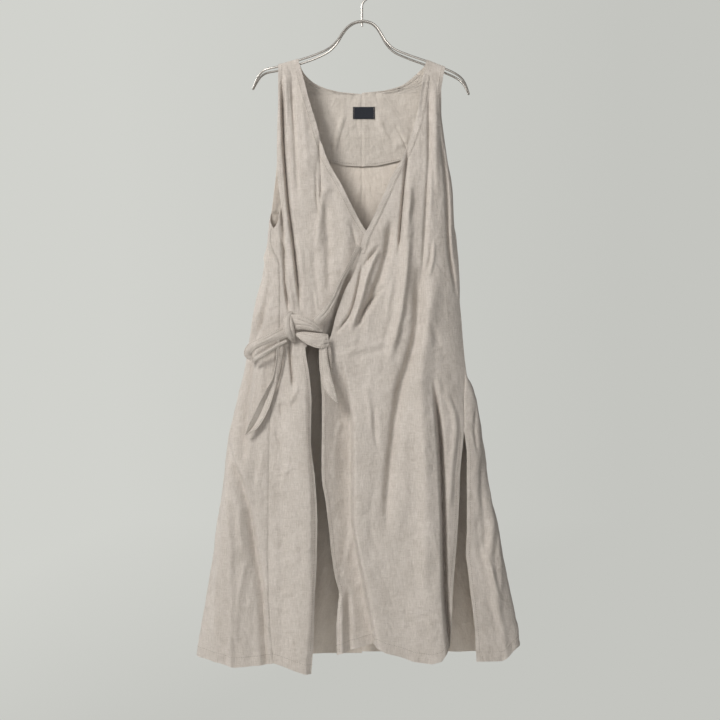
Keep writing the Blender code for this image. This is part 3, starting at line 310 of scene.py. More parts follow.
# How far the hem is lifted (+) or drops (-)
Lift = namedtuple("Lift", "across lift")
UNDER_HEM = table(Lift, (-165, 11), (-140, 4), (-105, -7), (-95, -7))
OVER_HEM = table(
    Lift,
    (-47, 4), (-28, 10), (20, 22), (45, 9), (72, 2), (96, -7), (130, -11), (148, -6), (158, 8),
    (166, 16),
)
BACK_LEFT_HEM = table(Lift, (0, 11), (16, 7), (72, 3), (100, 12), (140, 16), (420, 13))
BACK_RIGHT_HEM = table(Lift, (0, 0), (50, 0), (80, 22), (100, 28), (160, 6), (400, 4))

# Facing inside the back neck: share of the width from the middle, height of its lower edge
FacingEdge = namedtuple("FacingEdge", "share height")
FACING_EDGE = table(FacingEdge, (0, -349), (0.2, -347), (0.4, -340), (0.92, -318))
FACING_SIDE_SHARE = 0.92
FACING_LAST_ROW = 4.0   # the last whole row is this far above the lower edge

# Patch sewn on the facing
PATCH_LEFT = -17.5
PATCH_RIGHT = 24.5
PATCH_TOP = -235.0
PATCH_FOOT = -258.0
PATCH_WALL = 1.0
PATCH_STAND = 3.2       # how far the patch stands in front of the back
PATCH_CURL = 0.5
PATCH_GRID = (14, 24)

# A short crease: its two ends (across position and height), how far its middle is
# bowed sideways, its half width and how far it stands out.
Crease = namedtuple("Crease", "x z end_x end_z bend width out")
CREASE_DEPTH = 2.3      # the creases stand out this many times as far as their table says
CREASE_FADE = 0.3

UNDER_CREASES = table(
    Crease,
    (-19, -462, -8, -508, 2, 3, -1.8), (-80, -322, -82, -452, 5, 2, -2),
    (-74, -270, -80, -330, 2, 1.8, -1.6), (-96, -560, -84, -632, -3, 2.6, 1.4),
    (-140, -652, -168, -640, 2, 3, -1.2), (-103, -190, -82, -270, -2, 3, 1),
    (-134, -160, -121, -330, 3, 3, -1.2), (-116, -480, -104, -590, 4, 5, 1),
    (-62, -262, -30, -352, -3, 4, 1), (-147, -500, -132, -560, 3, 3, -1.4),
    (-152, -560, -128, -632, -5, 4, 1.6), (-146, -690, -168, -800, -4, 3, -3),
    (-150, -715, -158, -770, 2, 4, 1.6), (-140, -800, -118, -768, 3, 3, 1.8),
    (-152, -796, -150, -830, 1, 3, -1.6), (-134, -812, -116, -790, -2, 3, -1.4),
    (-163, -847, -142, -892, 3, 3, -1.4), (-136, -900, -148, -990, 4, 6, 1.2),
    (-122, -1010, -114, -1120, -4, 7, -1.2), (-160, -1060, -128, -1085, 3, 4, -0.9),
    (-156, -1170, -122, -1150, -3, 4, 0.9),
)

OVER_CREASES = table(
    Crease,
    (39, -504, 1, -546, 2, 3, -3), (30, -500, 4, -530, 2, 4, 1.6),
    (-46, -714, 60, -688, -3, 6, 1.5), (-40, -722, 56, -697, -3, 5, -1.1),
    (134, -490, 122, -570, -5, 3, 1.6), (128, -498, 118, -560, -4, 3, -1.2),
    (60, -330, 26, -400, 3, 3, -1.3), (74, -316, 44, -380, 3, 4, 1.2),
    (112, -210, 96, -300, 2, 3, -1.4), (118, -178, 104, -270, 2, 3, 1.4),
    (18, -590, 12, -690, 4, 6, 1.2), (56, -640, 40, -700, 3, 5, -1),
    (72, -655, 92, -640, 2, 4, 0.9), (128, -640, 150, -700, 4, 5, -1),
    (140, -735, 170, -752, 2, 4, 1.2), (148, -756, 160, -782, 2, 3, -1.2),
    (150, -770, 178, -812, -2, 3, -1.6), (22, -800, 30, -890, 3, 4, -1.3),
    (34, -800, 40, -880, 3, 5, 1), (-44, -850, -50, -960, 4, 7, 1.4),
    (-36, -836, -48, -862, 2, 4, 1.6), (-18, -1000, -34, -1110, -6, 6, 1.4),
    (66, -900, 84, -1010, -5, 8, 1.2), (12, -1010, 40, -1100, 5, 7, -1.2),
    (30, -560, 14, -640, 4, 4, -1.6), (62, -560, 48, -660, 5, 5, 1.5),
    (98, -420, 88, -520, 4, 4, -1.5), (120, -330, 128, -450, -4, 5, 1.3),
    (4, -760, 18, -860, -4, 6, 1.4), (80, -720, 64, -840, 5, 8, -1.2),
    (104, -820, 112, -960, -5, 8, 1.1), (-14, -1050, 8, -1160, -4, 6, 1.4),
    (92, -1090, 122, -1170, 5, 8, -1.1), (128, -1010, 150, -1110, 4, 7, 1),
    (40, -1180, 86, -1220, -4, 6, 0.9),
)

# On the backs the first number of each end is a distance from the side seam
BACK_LEFT_CREASES = table(
    Crease,
    (30, -486, 8, -540, 3, 3, -1.8), (40, -500, 22, -590, 4, 4, 1.4),
    (14, -560, 44, -690, -4, 4, -2), (26, -590, 60, -660, 3, 4, 1.2),
    (30, -700, 24, -860, 4, 6, 1.4), (12, -880, 30, -980, 3, 5, 1),
    (52, -980, 44, -1090, -4, 4, 1.6), (62, -1080, 82, -1230, 4, 4, -1.4),
    (26, -1110, 40, -1260, -4, 5, 1.2), (96, -1120, 92, -1280, 3, 6, -1.2),
    (128, -244, 108, -330, 4, 4, -1.6), (146, -262, 160, -322, -3, 3, 1.2),
    (84, -232, 118, -300, 4, 5, -1.2), (70, -300, 130, -326, -4, 4, 1.2),
    (200, -300, 150, -520, 8, 8, -1.6), (160, -700, 210, -860, -8, 9, 1.6),
    (230, -880, 300, -1010, 8, 9, -1.4), (260, -600, 220, -720, -6, 8, 1.3),
    (350, -1040, 330, -1200, 8, 10, 1.5),
)
BACK_RIGHT_CREASES = table(
    Crease,
    (24, -486, 10, -560, 3, 4, -1.4), (30, -800, 22, -900, 3, 4, -1.4),
    (44, -860, 56, -1010, -4, 5, 1.2), (20, -1000, 34, -1120, 3, 5, -1.2),
    (66, -1040, 48, -1200, -5, 6, 1.4), (30, -1160, 58, -1250, 4, 5, -1),
    (120, -236, 96, -318, -5, 5, -1.4), (92, -258, 70, -330, 3, 4, 1.6),
    (60, -296, 100, -318, -3, 4, -1.2), (190, -320, 140, -540, -8, 8, 1.6),
    (150, -720, 200, -880, 8, 9, -1.5), (240, -640, 200, -760, 6, 8, 1.3),
    (220, -900, 280, -1040, -8, 9, 1.5), (320, -1060, 300, -1220, 8, 10, -1.4),
)

# The crumple of washed linen: size across, size down and height as a share of the named size.
# A ridged layer has thin crests with soft hollows between them.
Crumple = namedtuple("Crumple", "wide tall share ridged")
CRUMPLES = table(
    Crumple,
    (15, 60, 0.8, False), (38, 170, 2, False), (7, 22, 0.3, False), (24, 80, 0.6, True),
    (17, 21, 0.3, True),
)
NOISE_CELLS = 97
CRUMPLE_TURN = 0.11     # each layer is turned this much further from the grain, in radians
WANDER_WIDE = 31.0      # its lines wander over these lengths
WANDER_TALL = 47.0
WANDER_SEED = 9
RIDGE_TOP = 0.6
RIDGE_FALL = 2.2
RIDGE_SOFT = 0.004

Front = namedtuple("Front", "sections folds hem left_power right_power creases seed")
Half = namedtuple("Half", "sections folds hem sign creases seed")

UNDER = Front(UNDER_SECTIONS, UNDER_FOLDS, UNDER_HEM, 3, 3, UNDER_CREASES, 11)
OVER = Front(OVER_SECTIONS, OVER_FOLDS, OVER_HEM, 3, 7, OVER_CREASES, 23)
BACK_LEFT = Half(BACK_LEFT_SECTIONS, BACK_LEFT_FOLDS, BACK_LEFT_HEM, -1, BACK_LEFT_CREASES, 37)
BACK_RIGHT = Half(BACK_RIGHT_SECTIONS, BACK_RIGHT_FOLDS, BACK_RIGHT_HEM, 1, BACK_RIGHT_CREASES, 41)

# Each front with the edge its neck band is on and the heights of the band's ends
FRONT_PIECES = (
    ("front_under", UNDER, "right", (-176, -484)),
    ("front_over", OVER, "left", (-182, -520)),
)
BACK_PIECES = (("back_left", BACK_LEFT), ("back_right", BACK_RIGHT))

# A strip of the tie: where its middle runs, its width, how far it is turned from facing the
# viewer (degrees) and how far its middle is bowed out of the flat.
Strip = namedtuple("Strip", "x y z width turn bow")

# A crease along a strip: where it lies across the width (-1 to 1), how far it drifts to the side
# by the far end, its half width, how far it stands out and the shares of the length it covers.
StripCrease = namedtuple("StripCrease", "share drift width out start stop")
STRIP_FADE = 0.15

# A piece of the tie: its node, its strips and its creases
TiePiece = namedtuple("TiePiece", "node strips creases")
TIE_PIECES = (
    TiePiece("tie_strap", table(
        Strip,
        (-6, -48.6, -508, 9, 30, 0.5), (-24, -52, -545, 10, 36, 0.8),
        (-39, -54.5, -573, 11, 34, 1), (-52, -56.5, -604, 13, 28, 1.2),
        (-67, -58, -629, 16, 20, 1.5), (-85.6, -58.4, -649.6, 18, 10, 2),
    ), table(
        StripCrease,
        (-0.35, 0.3, 0.16, -1, 0.1, 1), (0.45, 0.1, 0.3, 0.7, 0.3, 1.1),
    )),
    TiePiece("knot_wrap", table(
        Strip,
        (-132, -44.8, -630, 5, 0, 0.4), (-136, -59, -638, 12, 4, 1.6),
        (-138, -66, -650, 19, 6, 2.6), (-136.5, -66.5, -664, 20, 6, 2.8),
        (-131, -60, -677, 14, 0, 1.6), (-126, -44.1, -687, 5, 0, 0.4),
    ), table(
        StripCrease,
        (-0.45, 0.1, 0.1, -1.8, 0.15, 0.95), (0.15, 0.2, 0.35, 0.9, 0.2, 0.9),
    )),
    TiePiece("knot_band", table(
        Strip,
        (-131, -56, -649, 29, -14, 2.4), (-118, -62, -649.5, 27, -10, 3.2),
        (-104, -64, -652.5, 22, -4, 3), (-89, -62, -658.5, 15, 4, 2.2),
        (-74, -56, -667, 5, 10, 0.8),
    ), table(
        StripCrease,
        (-0.5, 0.45, 0.08, -2, 0.1, 1), (0.45, -0.4, 0.1, -1.2, 0, 0.8), (0, 0, 0.25, 0.8, 0, 0.9),
    )),
    TiePiece("loop_right", table(
        Strip,
        (-126, -57.5, -671, 3, 0, 0.4), (-109, -62.5, -676, 17, 4, 2.2),
        (-92, -65.5, -681.5, 25, 4, 3.2), (-76, -65.5, -684.5, 28, 0, 3),
        (-63, -60, -683.5, 23, -4, 1.6),
    ), table(
        StripCrease,
        (-0.6, 0.5, 0.09, -1.4, 0.1, 0.9), (0.5, -0.9, 0.14, 1.2, 0.3, 1),
        (0.75, -0.3, 0.1, -1, 0.5, 1.1),
    )),
    TiePiece("loop_left_outer", table(
        Strip,
        (-141, -56.5, -667, 22, 0, 2.2), (-158, -60, -673, 20, 4, 2.8),
        (-176, -61.5, -681, 16, 6, 2.6), (-194, -60.5, -689, 15, 2, 2.6),
        (-207, -57, -697, 17, -6, 2.4), (-213, -51, -708, 15, -10, 1.6),
        (-207, -47.5, -719, 6, 0, 0.6),
    ), table(
        StripCrease,
        (0.5, -0.7, 0.12, -1.2, -0.1, 0.6), (-0.2, 0.3, 0.3, 0.8, 0.1, 0.9),
    )),
    TiePiece("loop_left_inner", table(
        Strip,
        (-141, -56, -684, 5, 10, 0.8), (-156, -59, -692, 7, 16, 1.4),
        (-171, -60.5, -701, 8, 20, 1.8), (-186, -60.5, -710, 9, 16, 1.8),
        (-198, -57.5, -717, 9, 4, 1.6), (-203, -52, -724, 6, 0, 1),
    ), table(
        StripCrease,
        (0.3, 0, 0.25, 0.5, 0.1, 0.9),
    )),
    TiePiece("tail_left", table(
        Strip,
        (-156, -59, -681, 6, 24, 0.8), (-157.5, -58.5, -718, 6, 34, -0.6),
        (-162, -58, -751, 9, 30, -1.4), (-173, -57, -781, 18, 18, -3.6),
        (-186, -56, -812, 22, 8, -4.8), (-200, -54.5, -838, 20, 2, -4.4),
        (-217, -53, -860, 3, 0, -0.4),
    ), table(
        StripCrease,
        (0.1, -0.2, 0.22, -2.6, 0.35, 1.2), (0.7, 0, 0.15, 0.8, 0.3, 1),
    )),
    TiePiece("tail_left_inner", table(
        Strip,
        (-149, -55, -687, 5, 24, 0.6), (-151, -55, -712, 6, 40, 0.9),
        (-154, -54.5, -735, 5, 46, 0.8), (-158, -54, -755, 3, 40, 0.3),
    ), table(
        StripCrease,
        (0, 0.3, 0.3, -0.4, 0.1, 0.9),
    )),
    TiePiece("tail_right", table(
        Strip,
        (-73, -61.5, -692, 14, 0, 1.2), (-72, -62, -716, 16, 0, 1),
        (-68.5, -62, -744, 19, -6, 0.8), (-61.5, -62, -769, 18, -8, 0.8),
        (-54.5, -61, -786, 13, -6, 0.5), (-45.5, -58.5, -801, 2, 0, 0.1),
    ), table(
        StripCrease,
        (0.2, 0.3, 0.14, -0.6, -0.1, 0.6), (-0.3, 0.5, 0.3, 0.5, 0.3, 1),
    )),
    TiePiece("tail_behind", table(
        Strip,
        (-63, -57, -688, 6, 20, 0.5), (-60, -56.5, -708, 7, 44, 0.8), (-57, -55, -735, 3, 55, 0.3),
    ), table(
        StripCrease,
        (0, 0.2, 0.3, -0.4, 0.1, 0.9),
    )),
)

# The hanger's wire, from tip to tip: X, height and half the distance between its two wires
Wire = namedtuple("Wire", "x height half_gap")
HANGER_WIRE = table(
    Wire,
    (-205.5, -201.5, 3.6), (-201, -192, 8), (-193, -179, 14), (-183, -171.5, 18),
    (-160, -166.4, 20), (-119, -153.8, 20), (-88, -143, 18.5), (-62, -130, 15.5), (-47, -115, 12),
    (-36, -98, 8.5), (-26, -86.5, 6.2), (-12, -78.5, 4.6), (2, -76, 4.4), (16, -79, 4.6),
    (28, -88, 6.2), (37, -102, 8.5), (46, -117, 12), (60, -131, 15.5), (88, -143.6, 18.5),
    (122, -155.8, 20), (140, -163.4, 20), (159, -170.9, 20), (180, -181, 18), (191, -190, 14),
    (198, -202, 8), (201.5, -211, 3.6),
)

# Sewn dart at the viewer's right
DartPoint = namedtuple("DartPoint", "height x")
DART_LINE = table(
    DartPoint,
    (-420, 139), (-457, 146), (-495, 152), (-589, 157.5), (-664, 163), (-679, 165),
)

# Stage, in metres
FLOOR_SIZE = 3.0
FLOOR_REAR = 1.25
FLOOR_HEIGHT = -1.7
CAMERA_PLACE = (-0.0038, -3.0, -0.720)
CAMERA_LENS = 78.9
CAMERA_SENSOR = 36.0
LAMP_AIM = (0.0, 0.0, -0.75)
Lamp = namedtuple("Lamp", "name place wide tall power colour")
LAMPS = (
    Lamp("window", (-1.52, -2.2, 0.85), 0.9, 1.1, 74.0, (1.0, 0.99, 0.975)),
    Lamp("fill", (0.12, -2.8, -0.35), 1.2, 1.2, 10.5, (0.99, 0.985, 0.985)),
    Lamp("behind", (-2.5, 1.9, 0.9), 1.0, 1.0, 56.0, (1.0, 0.995, 0.985)),
)
# Painted shade on the surround the camera sees: it darkens to the right and towards the floor, as
# a wall lit from the left would; it lights nothing.
SHADE_START = 0.48      # share of the darker surround straight ahead
SHADE_RIGHTWARD = 3.2   # how fast it grows to the right
SHADE_LOW = -0.1        # how far up the surround darkens towards the floor
SHADE_DOWNWARD = 7.0    # and how fast


# ---------------------------------------------------------------- lines and random heights

def steps_along(*tracks):
    """Distance travelled from row to row, summed, for tracks that change together."""
    squares = sum(np.diff(np.asarray(track, float)) ** 2 for track in tracks)
    return np.concatenate([[0.0], np.cumsum(np.maximum(np.sqrt(squares), LEAST_STEP))])


def smooth(knots, values, at):
    """Read a line through (knots, values) that keeps every rise and fall of the table."""
    knots, values = np.asarray(knots, float), np.asarray(values, float)
    gaps = np.diff(knots)
    slopes = np.diff(values) / gaps
    before, after = slopes[:-1], slopes[1:]
    heavy_a, heavy_b = 2 * gaps[1:] + gaps[:-1], gaps[1:] + 2 * gaps[:-1]
    with np.errstate(divide="ignore", invalid="ignore"):
        mean = (heavy_a + heavy_b) / (heavy_a / before + heavy_b / after)
    lean = np.concatenate([slopes[:1], np.where(before * after > 0, mean, 0.0), slopes[-1:]])
    at = np.clip(np.asarray(at, float), knots[0], knots[-1])
    cell = np.clip(np.searchsorted(knots, at, side="right") - 1, 0, len(gaps) - 1)
    width = gaps[cell]
    t = (at - knots[cell]) / width
    return (values[cell] * (1 + 2 * t) * (1 - t) ** 2 + values[cell + 1] * t * t * (3 - 2 * t)
            + lean[cell] * width * t * (1 - t) ** 2 - lean[cell + 1] * width * t * t * (1 - t))


def ease(value):
    """Nought to one with soft ends."""
    value = np.clip(value, 0.0, 1.0)
    return value * value * (3 - 2 * value)


def between(at, start, stop, reach):
    """One between two places, with soft ends inside them."""
    return ease((at - start) / reach) * ease((stop - at) / reach)


def column(rows, name):
    return np.array([getattr(row, name) for row in rows], float)


def at_height(rows, name, height):
    """A column of a table whose rows run down, read straight from row to row."""
    return np.interp(-height, -column(rows, "height"), column(rows, name))


def track_of(panel):
    """Distance down the middle of a panel from section to section."""
    return steps_along(column(panel.sections, "height"), column(panel.sections, "mid_y"))


def read(panel, names, run):
    """The named columns of a panel's sections, at distances down its track."""
    track = track_of(panel)
    return [smooth(track, column(panel.sections, name), run) for name in names]


def noise(a, b, seed):
    """Smooth random heights from -1 to 1 over two coordinates."""
    lattice = np.random.default_rng(seed).uniform(-1.0, 1.0, (NOISE_CELLS, NOISE_CELLS))
    cell_a, cell_b = np.floor(a).astype(int), np.floor(b).astype(int)
    part_a, part_b = ease(a - cell_a), ease(b - cell_b)
    a0, a1 = cell_a % NOISE_CELLS, (cell_a + 1) % NOISE_CELLS
    b0, b1 = cell_b % NOISE_CELLS, (cell_b + 1) % NOISE_CELLS
    low = lattice[a0, b0] * (1 - part_a) + lattice[a1, b0] * part_a
    high = lattice[a0, b1] * (1 - part_a) + lattice[a1, b1] * part_a
    return low * (1 - part_b) + high * part_b


def crumple(across, height, seed):
    """How far the small creases of washed linen stand out."""
    total = np.zeros_like(across)
    tallest = bpy.context.scene.dress_sizes.crumple / MM
    for index, layer in enumerate(CRUMPLES):
        turn = CRUMPLE_TURN * (index + 1) * (-1) ** index
        wander = noise(across / WANDER_WIDE, height / WANDER_TALL, seed + WANDER_SEED + index)
        wander = layer.wide * wander
        lean = across * math.cos(turn) + height * math.sin(turn) + wander
        rise = height * math.cos(turn) - across * math.sin(turn) + wander
        value = noise(lean / layer.wide, rise / layer.tall, seed + index)
        if layer.ridged:
            value = RIDGE_TOP - RIDGE_FALL * np.sqrt(np.abs(value) + RIDGE_SOFT)
        total += value * layer.share * tallest
    return total


def crease_height(creases, across, height):
    """How far the listed creases stand out."""
    total = np.zeros_like(across)
    for crease in creases:
        run_x, run_z = crease.end_x - crease.x, crease.end_z - crease.z
        length = math.hypot(run_x, run_z)
        near_x, near_z = across - crease.x, height - crease.z
        along = (near_x * run_x + near_z * run_z) / length ** 2
        away = (near_x * run_z - near_z * run_x) / length
        away = away - crease.bend * 4 * along * (1 - along)
        fade = between(along, 0, 1, CREASE_FADE)
        total += crease.out * fade * np.exp(-(away / crease.width) ** 2)
    return total * CREASE_DEPTH


def fold_height(folds, across, height):
    """How far all folds together stand out at the given places."""
    total = np.zeros_like(across)
    for fold in folds:
        share = (fold.top - height) / (fold.top - fold.foot)
        away = across - smooth(np.linspace(0.0, 1.0, len(fold.line)), fold.line, share)
        reach = np.where(away < 0, fold.width_before, fold.width_after)
        if fold.foot < HEM_FOLD_FOOT:
            fade = ease(share / FOLD_FADE) * (share <= HEM_FOLD_REACH)
        else:
            fade = between(share, 0, 1, FOLD_FADE)
        total += fold.out * fade * np.exp(-(away / reach) ** 2)
    return total


def relief(panel, run, across, height):
    """How far a panel's folds, creases and crumple stand out of its plain form."""
    out = fold_height(panel.folds, across, height) + crease_height(panel.creases, across, height)
    below_shoulder = ease((run - SHOULDER_PLAIN) / SHOULDER_EASE)
    return out + crumple(across, height, panel.seed) * below_shoulder


def hem_lift(rows, across, height):
    share = ease((HEM_START - height) / (HEM_START - HEM_END))
    return share * np.interp(across, column(rows, "across"), column(rows, "lift"))


# ---------------------------------------------------------------- surfaces of the panels

def front_depth(front, run, across, x, z):
    """Y of a front panel's middle surface."""
    names = ("left_y", "mid_y", "right_y", "left", "right")
    left_y, mid_y, right_y, left, right = read(front, names, run)
    plain = mid_y + (left_y - mid_y) * (1 - across) ** front.left_power
    plain += (right_y - mid_y) * across ** front.right_power
    from_seam = (right - left) * (across if front is UNDER else 1 - across)
    free = z > UNDERARM + ARMHOLE_FREE
    if front is OVER:
        free = free | (z < SLIT_TOP)
    quiet = np.maximum(ease(from_seam / SEAM_QUIET), free)
    return plain - relief(front, run, x, z) * quiet


def under_limit(x, z):
    """The Y the over front has to keep in front of, where it lies on the under front."""
    run = np.interp(-z, -column(UNDER.sections, "height")[1:], track_of(UNDER)[1:])
    left, right = read(UNDER, ("left", "right"), run)
    across = np.clip((x - left) / (right - left), 0.0, 1.0)
    near = front_depth(UNDER, run, across, np.minimum(x, right), z)
    limit = near - LAYER_STEP + STEP_SLOPE * np.maximum(0.0, x - right)
    return np.where((z < OVERLAP_TOP) & (z > OVERLAP_FOOT), limit, NO_LIMIT)


def front_grid(front, runs, shares):
    """Points of a front panel's middle surface, rows by columns."""
    run, across = np.meshgrid(runs, shares, indexing="ij")
    left, right, z, rise = read(front, ("left", "right", "height", "rise"), run)
    corner = np.minimum(left - CORNER_LINE, 0.0) * ((z < CORNER_TOP) & (z > CORNER_FOOT))
    corner = corner * (front is UNDER)
    inward = (right - left + corner) * across
    x = left - corner + inward + corner * (1 - ease(inward / CORNER_REACH))
    z = z + rise * (across - 0.5)
    y = front_depth(front, run, across, x, z)
    if front is OVER:
        y = np.minimum(y, under_limit(x, z))
    return np.stack([x, y, z + hem_lift(front.hem, x, z)], axis=-1)


def side_edge(half, height):
    """X and Y of the edge a back half ends on, at a height below the underarm."""
    front, side = (UNDER, "left") if half.sign < 0 else (OVER, "right")
    edge = [at_height(front.sections[1:], name, height) for name in (side, side + "_y")]
    if half.sign > 0:
        below = ease((SLIT_TOP - height) / SLIT_EASE)
        free = [at_height(SLIT_EDGE, name, height) for name in "xy"]
        edge = [sewn + (loose - sewn) * below for sewn, loose in zip(edge, free)]
    return edge


def back_path(half, row):
    """Section of a back half as a line from the middle seam, round the side, to its edge."""
    turn = np.linspace(0.0, np.pi / 2, BACK_POINTS)
    share = turn / turn[-1]
    back_power, side_power = 2 / BACK_ROUNDNESS, 2 / SIDE_ROUNDNESS
    plain_y = share ** ARMHOLE_ROUNDNESS
    round_x = np.sin(turn) ** back_power
    round_y = 1 - np.cos(turn).clip(0) ** back_power
    x = row.neck + (row.side - row.neck) * (share + (round_x - share) * row.wrap)
    y = row.mid_y + (row.side_y - row.mid_y) * (plain_y + (round_y - plain_y) * row.wrap)
    if row.wrap > 0:
        edge_x, edge_y = side_edge(half, row.height)
        turn = np.linspace(0.0, np.pi / 2 * row.wrap, SIDE_POINTS)[1:]
        x = np.append(x, edge_x + (row.side - edge_x) * np.cos(turn).clip(0) ** side_power)
        y = np.append(y, row.side_y + (edge_y - row.side_y) * np.sin(turn) ** side_power)
    return x, y


def back_line(half, run, row, shares):
    """One row of a back half: points along its section, with folds and seams."""
    x, y = back_path(half, row)
    tuck = SEAM_TUCK * row.wrap         # it runs on this far behind the front it is sewn to
    if half.sign > 0:
        tuck = tuck * ease((row.height - SLIT_TOP) / SLIT_EASE)
    x = np.append(x, x[-1] - half.sign * max(tuck, LEAST_TUCK))
    y = np.append(y, y[-1])
    length = steps_along(x, y)
    at = (length[-2] + tuck) * shares
    from_edge = length[-2] - at
    px, py = np.interp(at, length, x), np.interp(at, length, y)
    ahead_x, ahead_y = (
        np.interp(at + TURN_REACH, length, line) - np.interp(at - TURN_REACH, length, line)
        for line in (x, y))
    ahead = np.hypot(ahead_x, ahead_y).clip(1e-6)
    z = row.height + row.rise * (0.5 - shares)
    sewn = row.wrap if tuck > 0 else 0.0
    quiet = ease(at / MIDDLE_QUIET) * (1 + (ease(from_edge / SEAM_QUIET) - 1) * sewn)
    out = relief(half, run, from_edge, z) * quiet
    px = px - half.sign * ahead_y / ahead * out
    py = py + half.sign * ahead_x / ahead * out
    py = py + TUCK_DEPTH * ease((TUCK_START - from_edge) / TUCK_REACH) * sewn
    py = py + MIDDLE_SEAM_OUT * ease(1 - at / MIDDLE_SEAM_REACH) * (row.height < BACK_NECK)
    return np.stack([px, py, z + hem_lift(half.hem, from_edge, z)], axis=-1)


def back_grid(half, runs, shares):
    """Points of a back half's middle surface, rows by columns."""
    rows = zip(*read(half, Back._fields, runs))
    return np.stack([back_line(half, run, Back(*row), shares) for run, row in zip(runs, rows)])


def grid_normals(grid):
    normal = np.cross(np.gradient(grid, axis=0), np.gradient(grid, axis=1))
    return normal / np.linalg.norm(normal, axis=-1, keepdims=True).clip(1e-9)


def row_lengths(grid):
    """Distance of each point from the first point of its row, along the cloth."""
    steps = np.linalg.norm(np.diff(grid, axis=1), axis=-1)
    return np.concatenate([np.zeros((len(grid), 1)), np.cumsum(steps, axis=1)], axis=1)


def column_lengths(grid):
    """Distance of each point from the first point of its column, along the cloth."""
    return row_lengths(grid.transpose(1, 0, 2)).T


def on_grid(grid, row_at, column_at):
    """Points between the points of a grid, at fractional rows and columns."""
    row_at, column_at = np.broadcast_arrays(row_at, column_at)
    row = np.clip(np.floor(row_at).astype(int), 0, grid.shape[0] - 2)
    col = np.clip(np.floor(column_at).astype(int), 0, grid.shape[1] - 2)
    down, over = (row_at - row)[..., None], (column_at - col)[..., None]
    upper = grid[row, col] * (1 - over) + grid[row, col + 1] * over
    lower = grid[row + 1, col] * (1 - over) + grid[row + 1, col + 1] * over
    return upper * (1 - down) + lower * down


def row_at_height(grid, column_index, height):
    """Fractional row in which a column of the grid passes a height."""
    heights = -grid[1:, column_index, 2]
    return 1 + np.interp(-height, heights, np.arange(len(heights)))


# A finished surface: its points, the directions out of the dress, its wall at each point and
# where each point lies on the flat cloth
Surface = namedtuple("Surface", "grid out wall flat")


def lifted(surface, lift, sign=1):
    """Points outside a surface's wall by a lift, or inside it with the sign -1."""
    return surface.grid + sign * surface.out * (surface.wall[..., None] / 2 + lift)


def panel_map(grid, from_edge):
    """Straight grain: across from one edge of the panel, down by height."""
    across = row_lengths(grid)[:, -1:] * np.linspace(0.0, 1.0, grid.shape[1])
    if from_edge == "right":
        across = across - across[:, -1:]
    return np.stack([across, grid[..., 2]], axis=-1)


def turned_edges(grid, left, right):
    """Wall of a panel, thicker where an edge is turned in; left and right say in which rows."""
    sizes = bpy.context.scene.dress_sizes
    across, down = row_lengths(grid), column_lengths(grid)
    turn, hem = sizes.edge_turn / MM, sizes.hem_depth / MM
    doubled = ease((hem - (down[-1:] - down)) / HEM_SOFT + 0.5)
    for from_edge, rows in ((across, left), (across[:, -1:] - across, right)):
        turned = ease((turn - from_edge) / EDGE_SOFT + 0.5) * rows[:, None]
        doubled = np.maximum(doubled, turned)
    return sizes.cloth / MM + sizes.turned_rise / MM * doubled


def spaced(end, length, step):
    """Even places from nought to the end, a step apart on a line of that length."""
    return np.linspace(0.0, end, int(length / (step / MM)) + 1)


def front_surface(front):
    sizes = bpy.context.scene.dress_sizes
    down = track_of(front)[-1]
    widest = max(row.right - row.left for row in front.sections)
    grid = front_grid(front, spaced(down, down, sizes.row_step),
                      spaced(1.0, widest, sizes.column_step))
    height = grid[:, 0, 2] if front is UNDER else grid[:, -1, 2]
    turned, below = height > UNDERARM + ARMHOLE_TURN, height < OVERLAP_FOOT
    if front is UNDER:
        wall = turned_edges(grid, turned, below)
    else:
        wall = turned_edges(grid, below, turned | (height < SLIT_TOP))
    return Surface(grid, grid_normals(grid), wall, grid[..., ::2])


def back_surface(half):
    sizes = bpy.context.scene.dress_sizes
    down = track_of(half)[-1]
    grid = back_grid(half, spaced(down, down, sizes.row_step),
                     spaced(1.0, BACK_WIDTH, sizes.back_column_step))
    height = grid[:, -1, 2]
    free = height > UNDERARM + ARMHOLE_TURN
    if half.sign > 0:
        free = free | (height < SLIT_TOP - SLIT_EASE)
    wall = turned_edges(grid, grid[:, 0, 2] > BACK_NECK, free)
    return Surface(grid, -half.sign * grid_normals(grid), wall, panel_map(grid, "right"))


def neck_band_grid(surface, edge, top, foot):
    """A narrow band along the neck edge, made from the panel's own points and moved out."""
    grid = surface.grid
    last = grid.shape[1] - 1
    end = 0 if edge == "left" else last
    first_row, last_row = (row_at_height(grid, end, height) for height in (top, foot))
    rows = np.arange(np.ceil(first_row), np.floor(last_row) + 1)
    raised = lifted(surface, BAND_LIFT + BAND_WALL / 2)
    lines = []
    for row in (first_row, *rows, last_row):
        left, right = on_grid(grid, row, np.array([0.0, last]))
        reach = NECK_BAND_WIDTH / np.linalg.norm(right - left) * last
        start = 0.0 if end == 0 else last - reach
        lines.append(on_grid(raised, row, np.linspace(start, start + reach, BAND_COLUMNS)))
    return np.stack(lines)


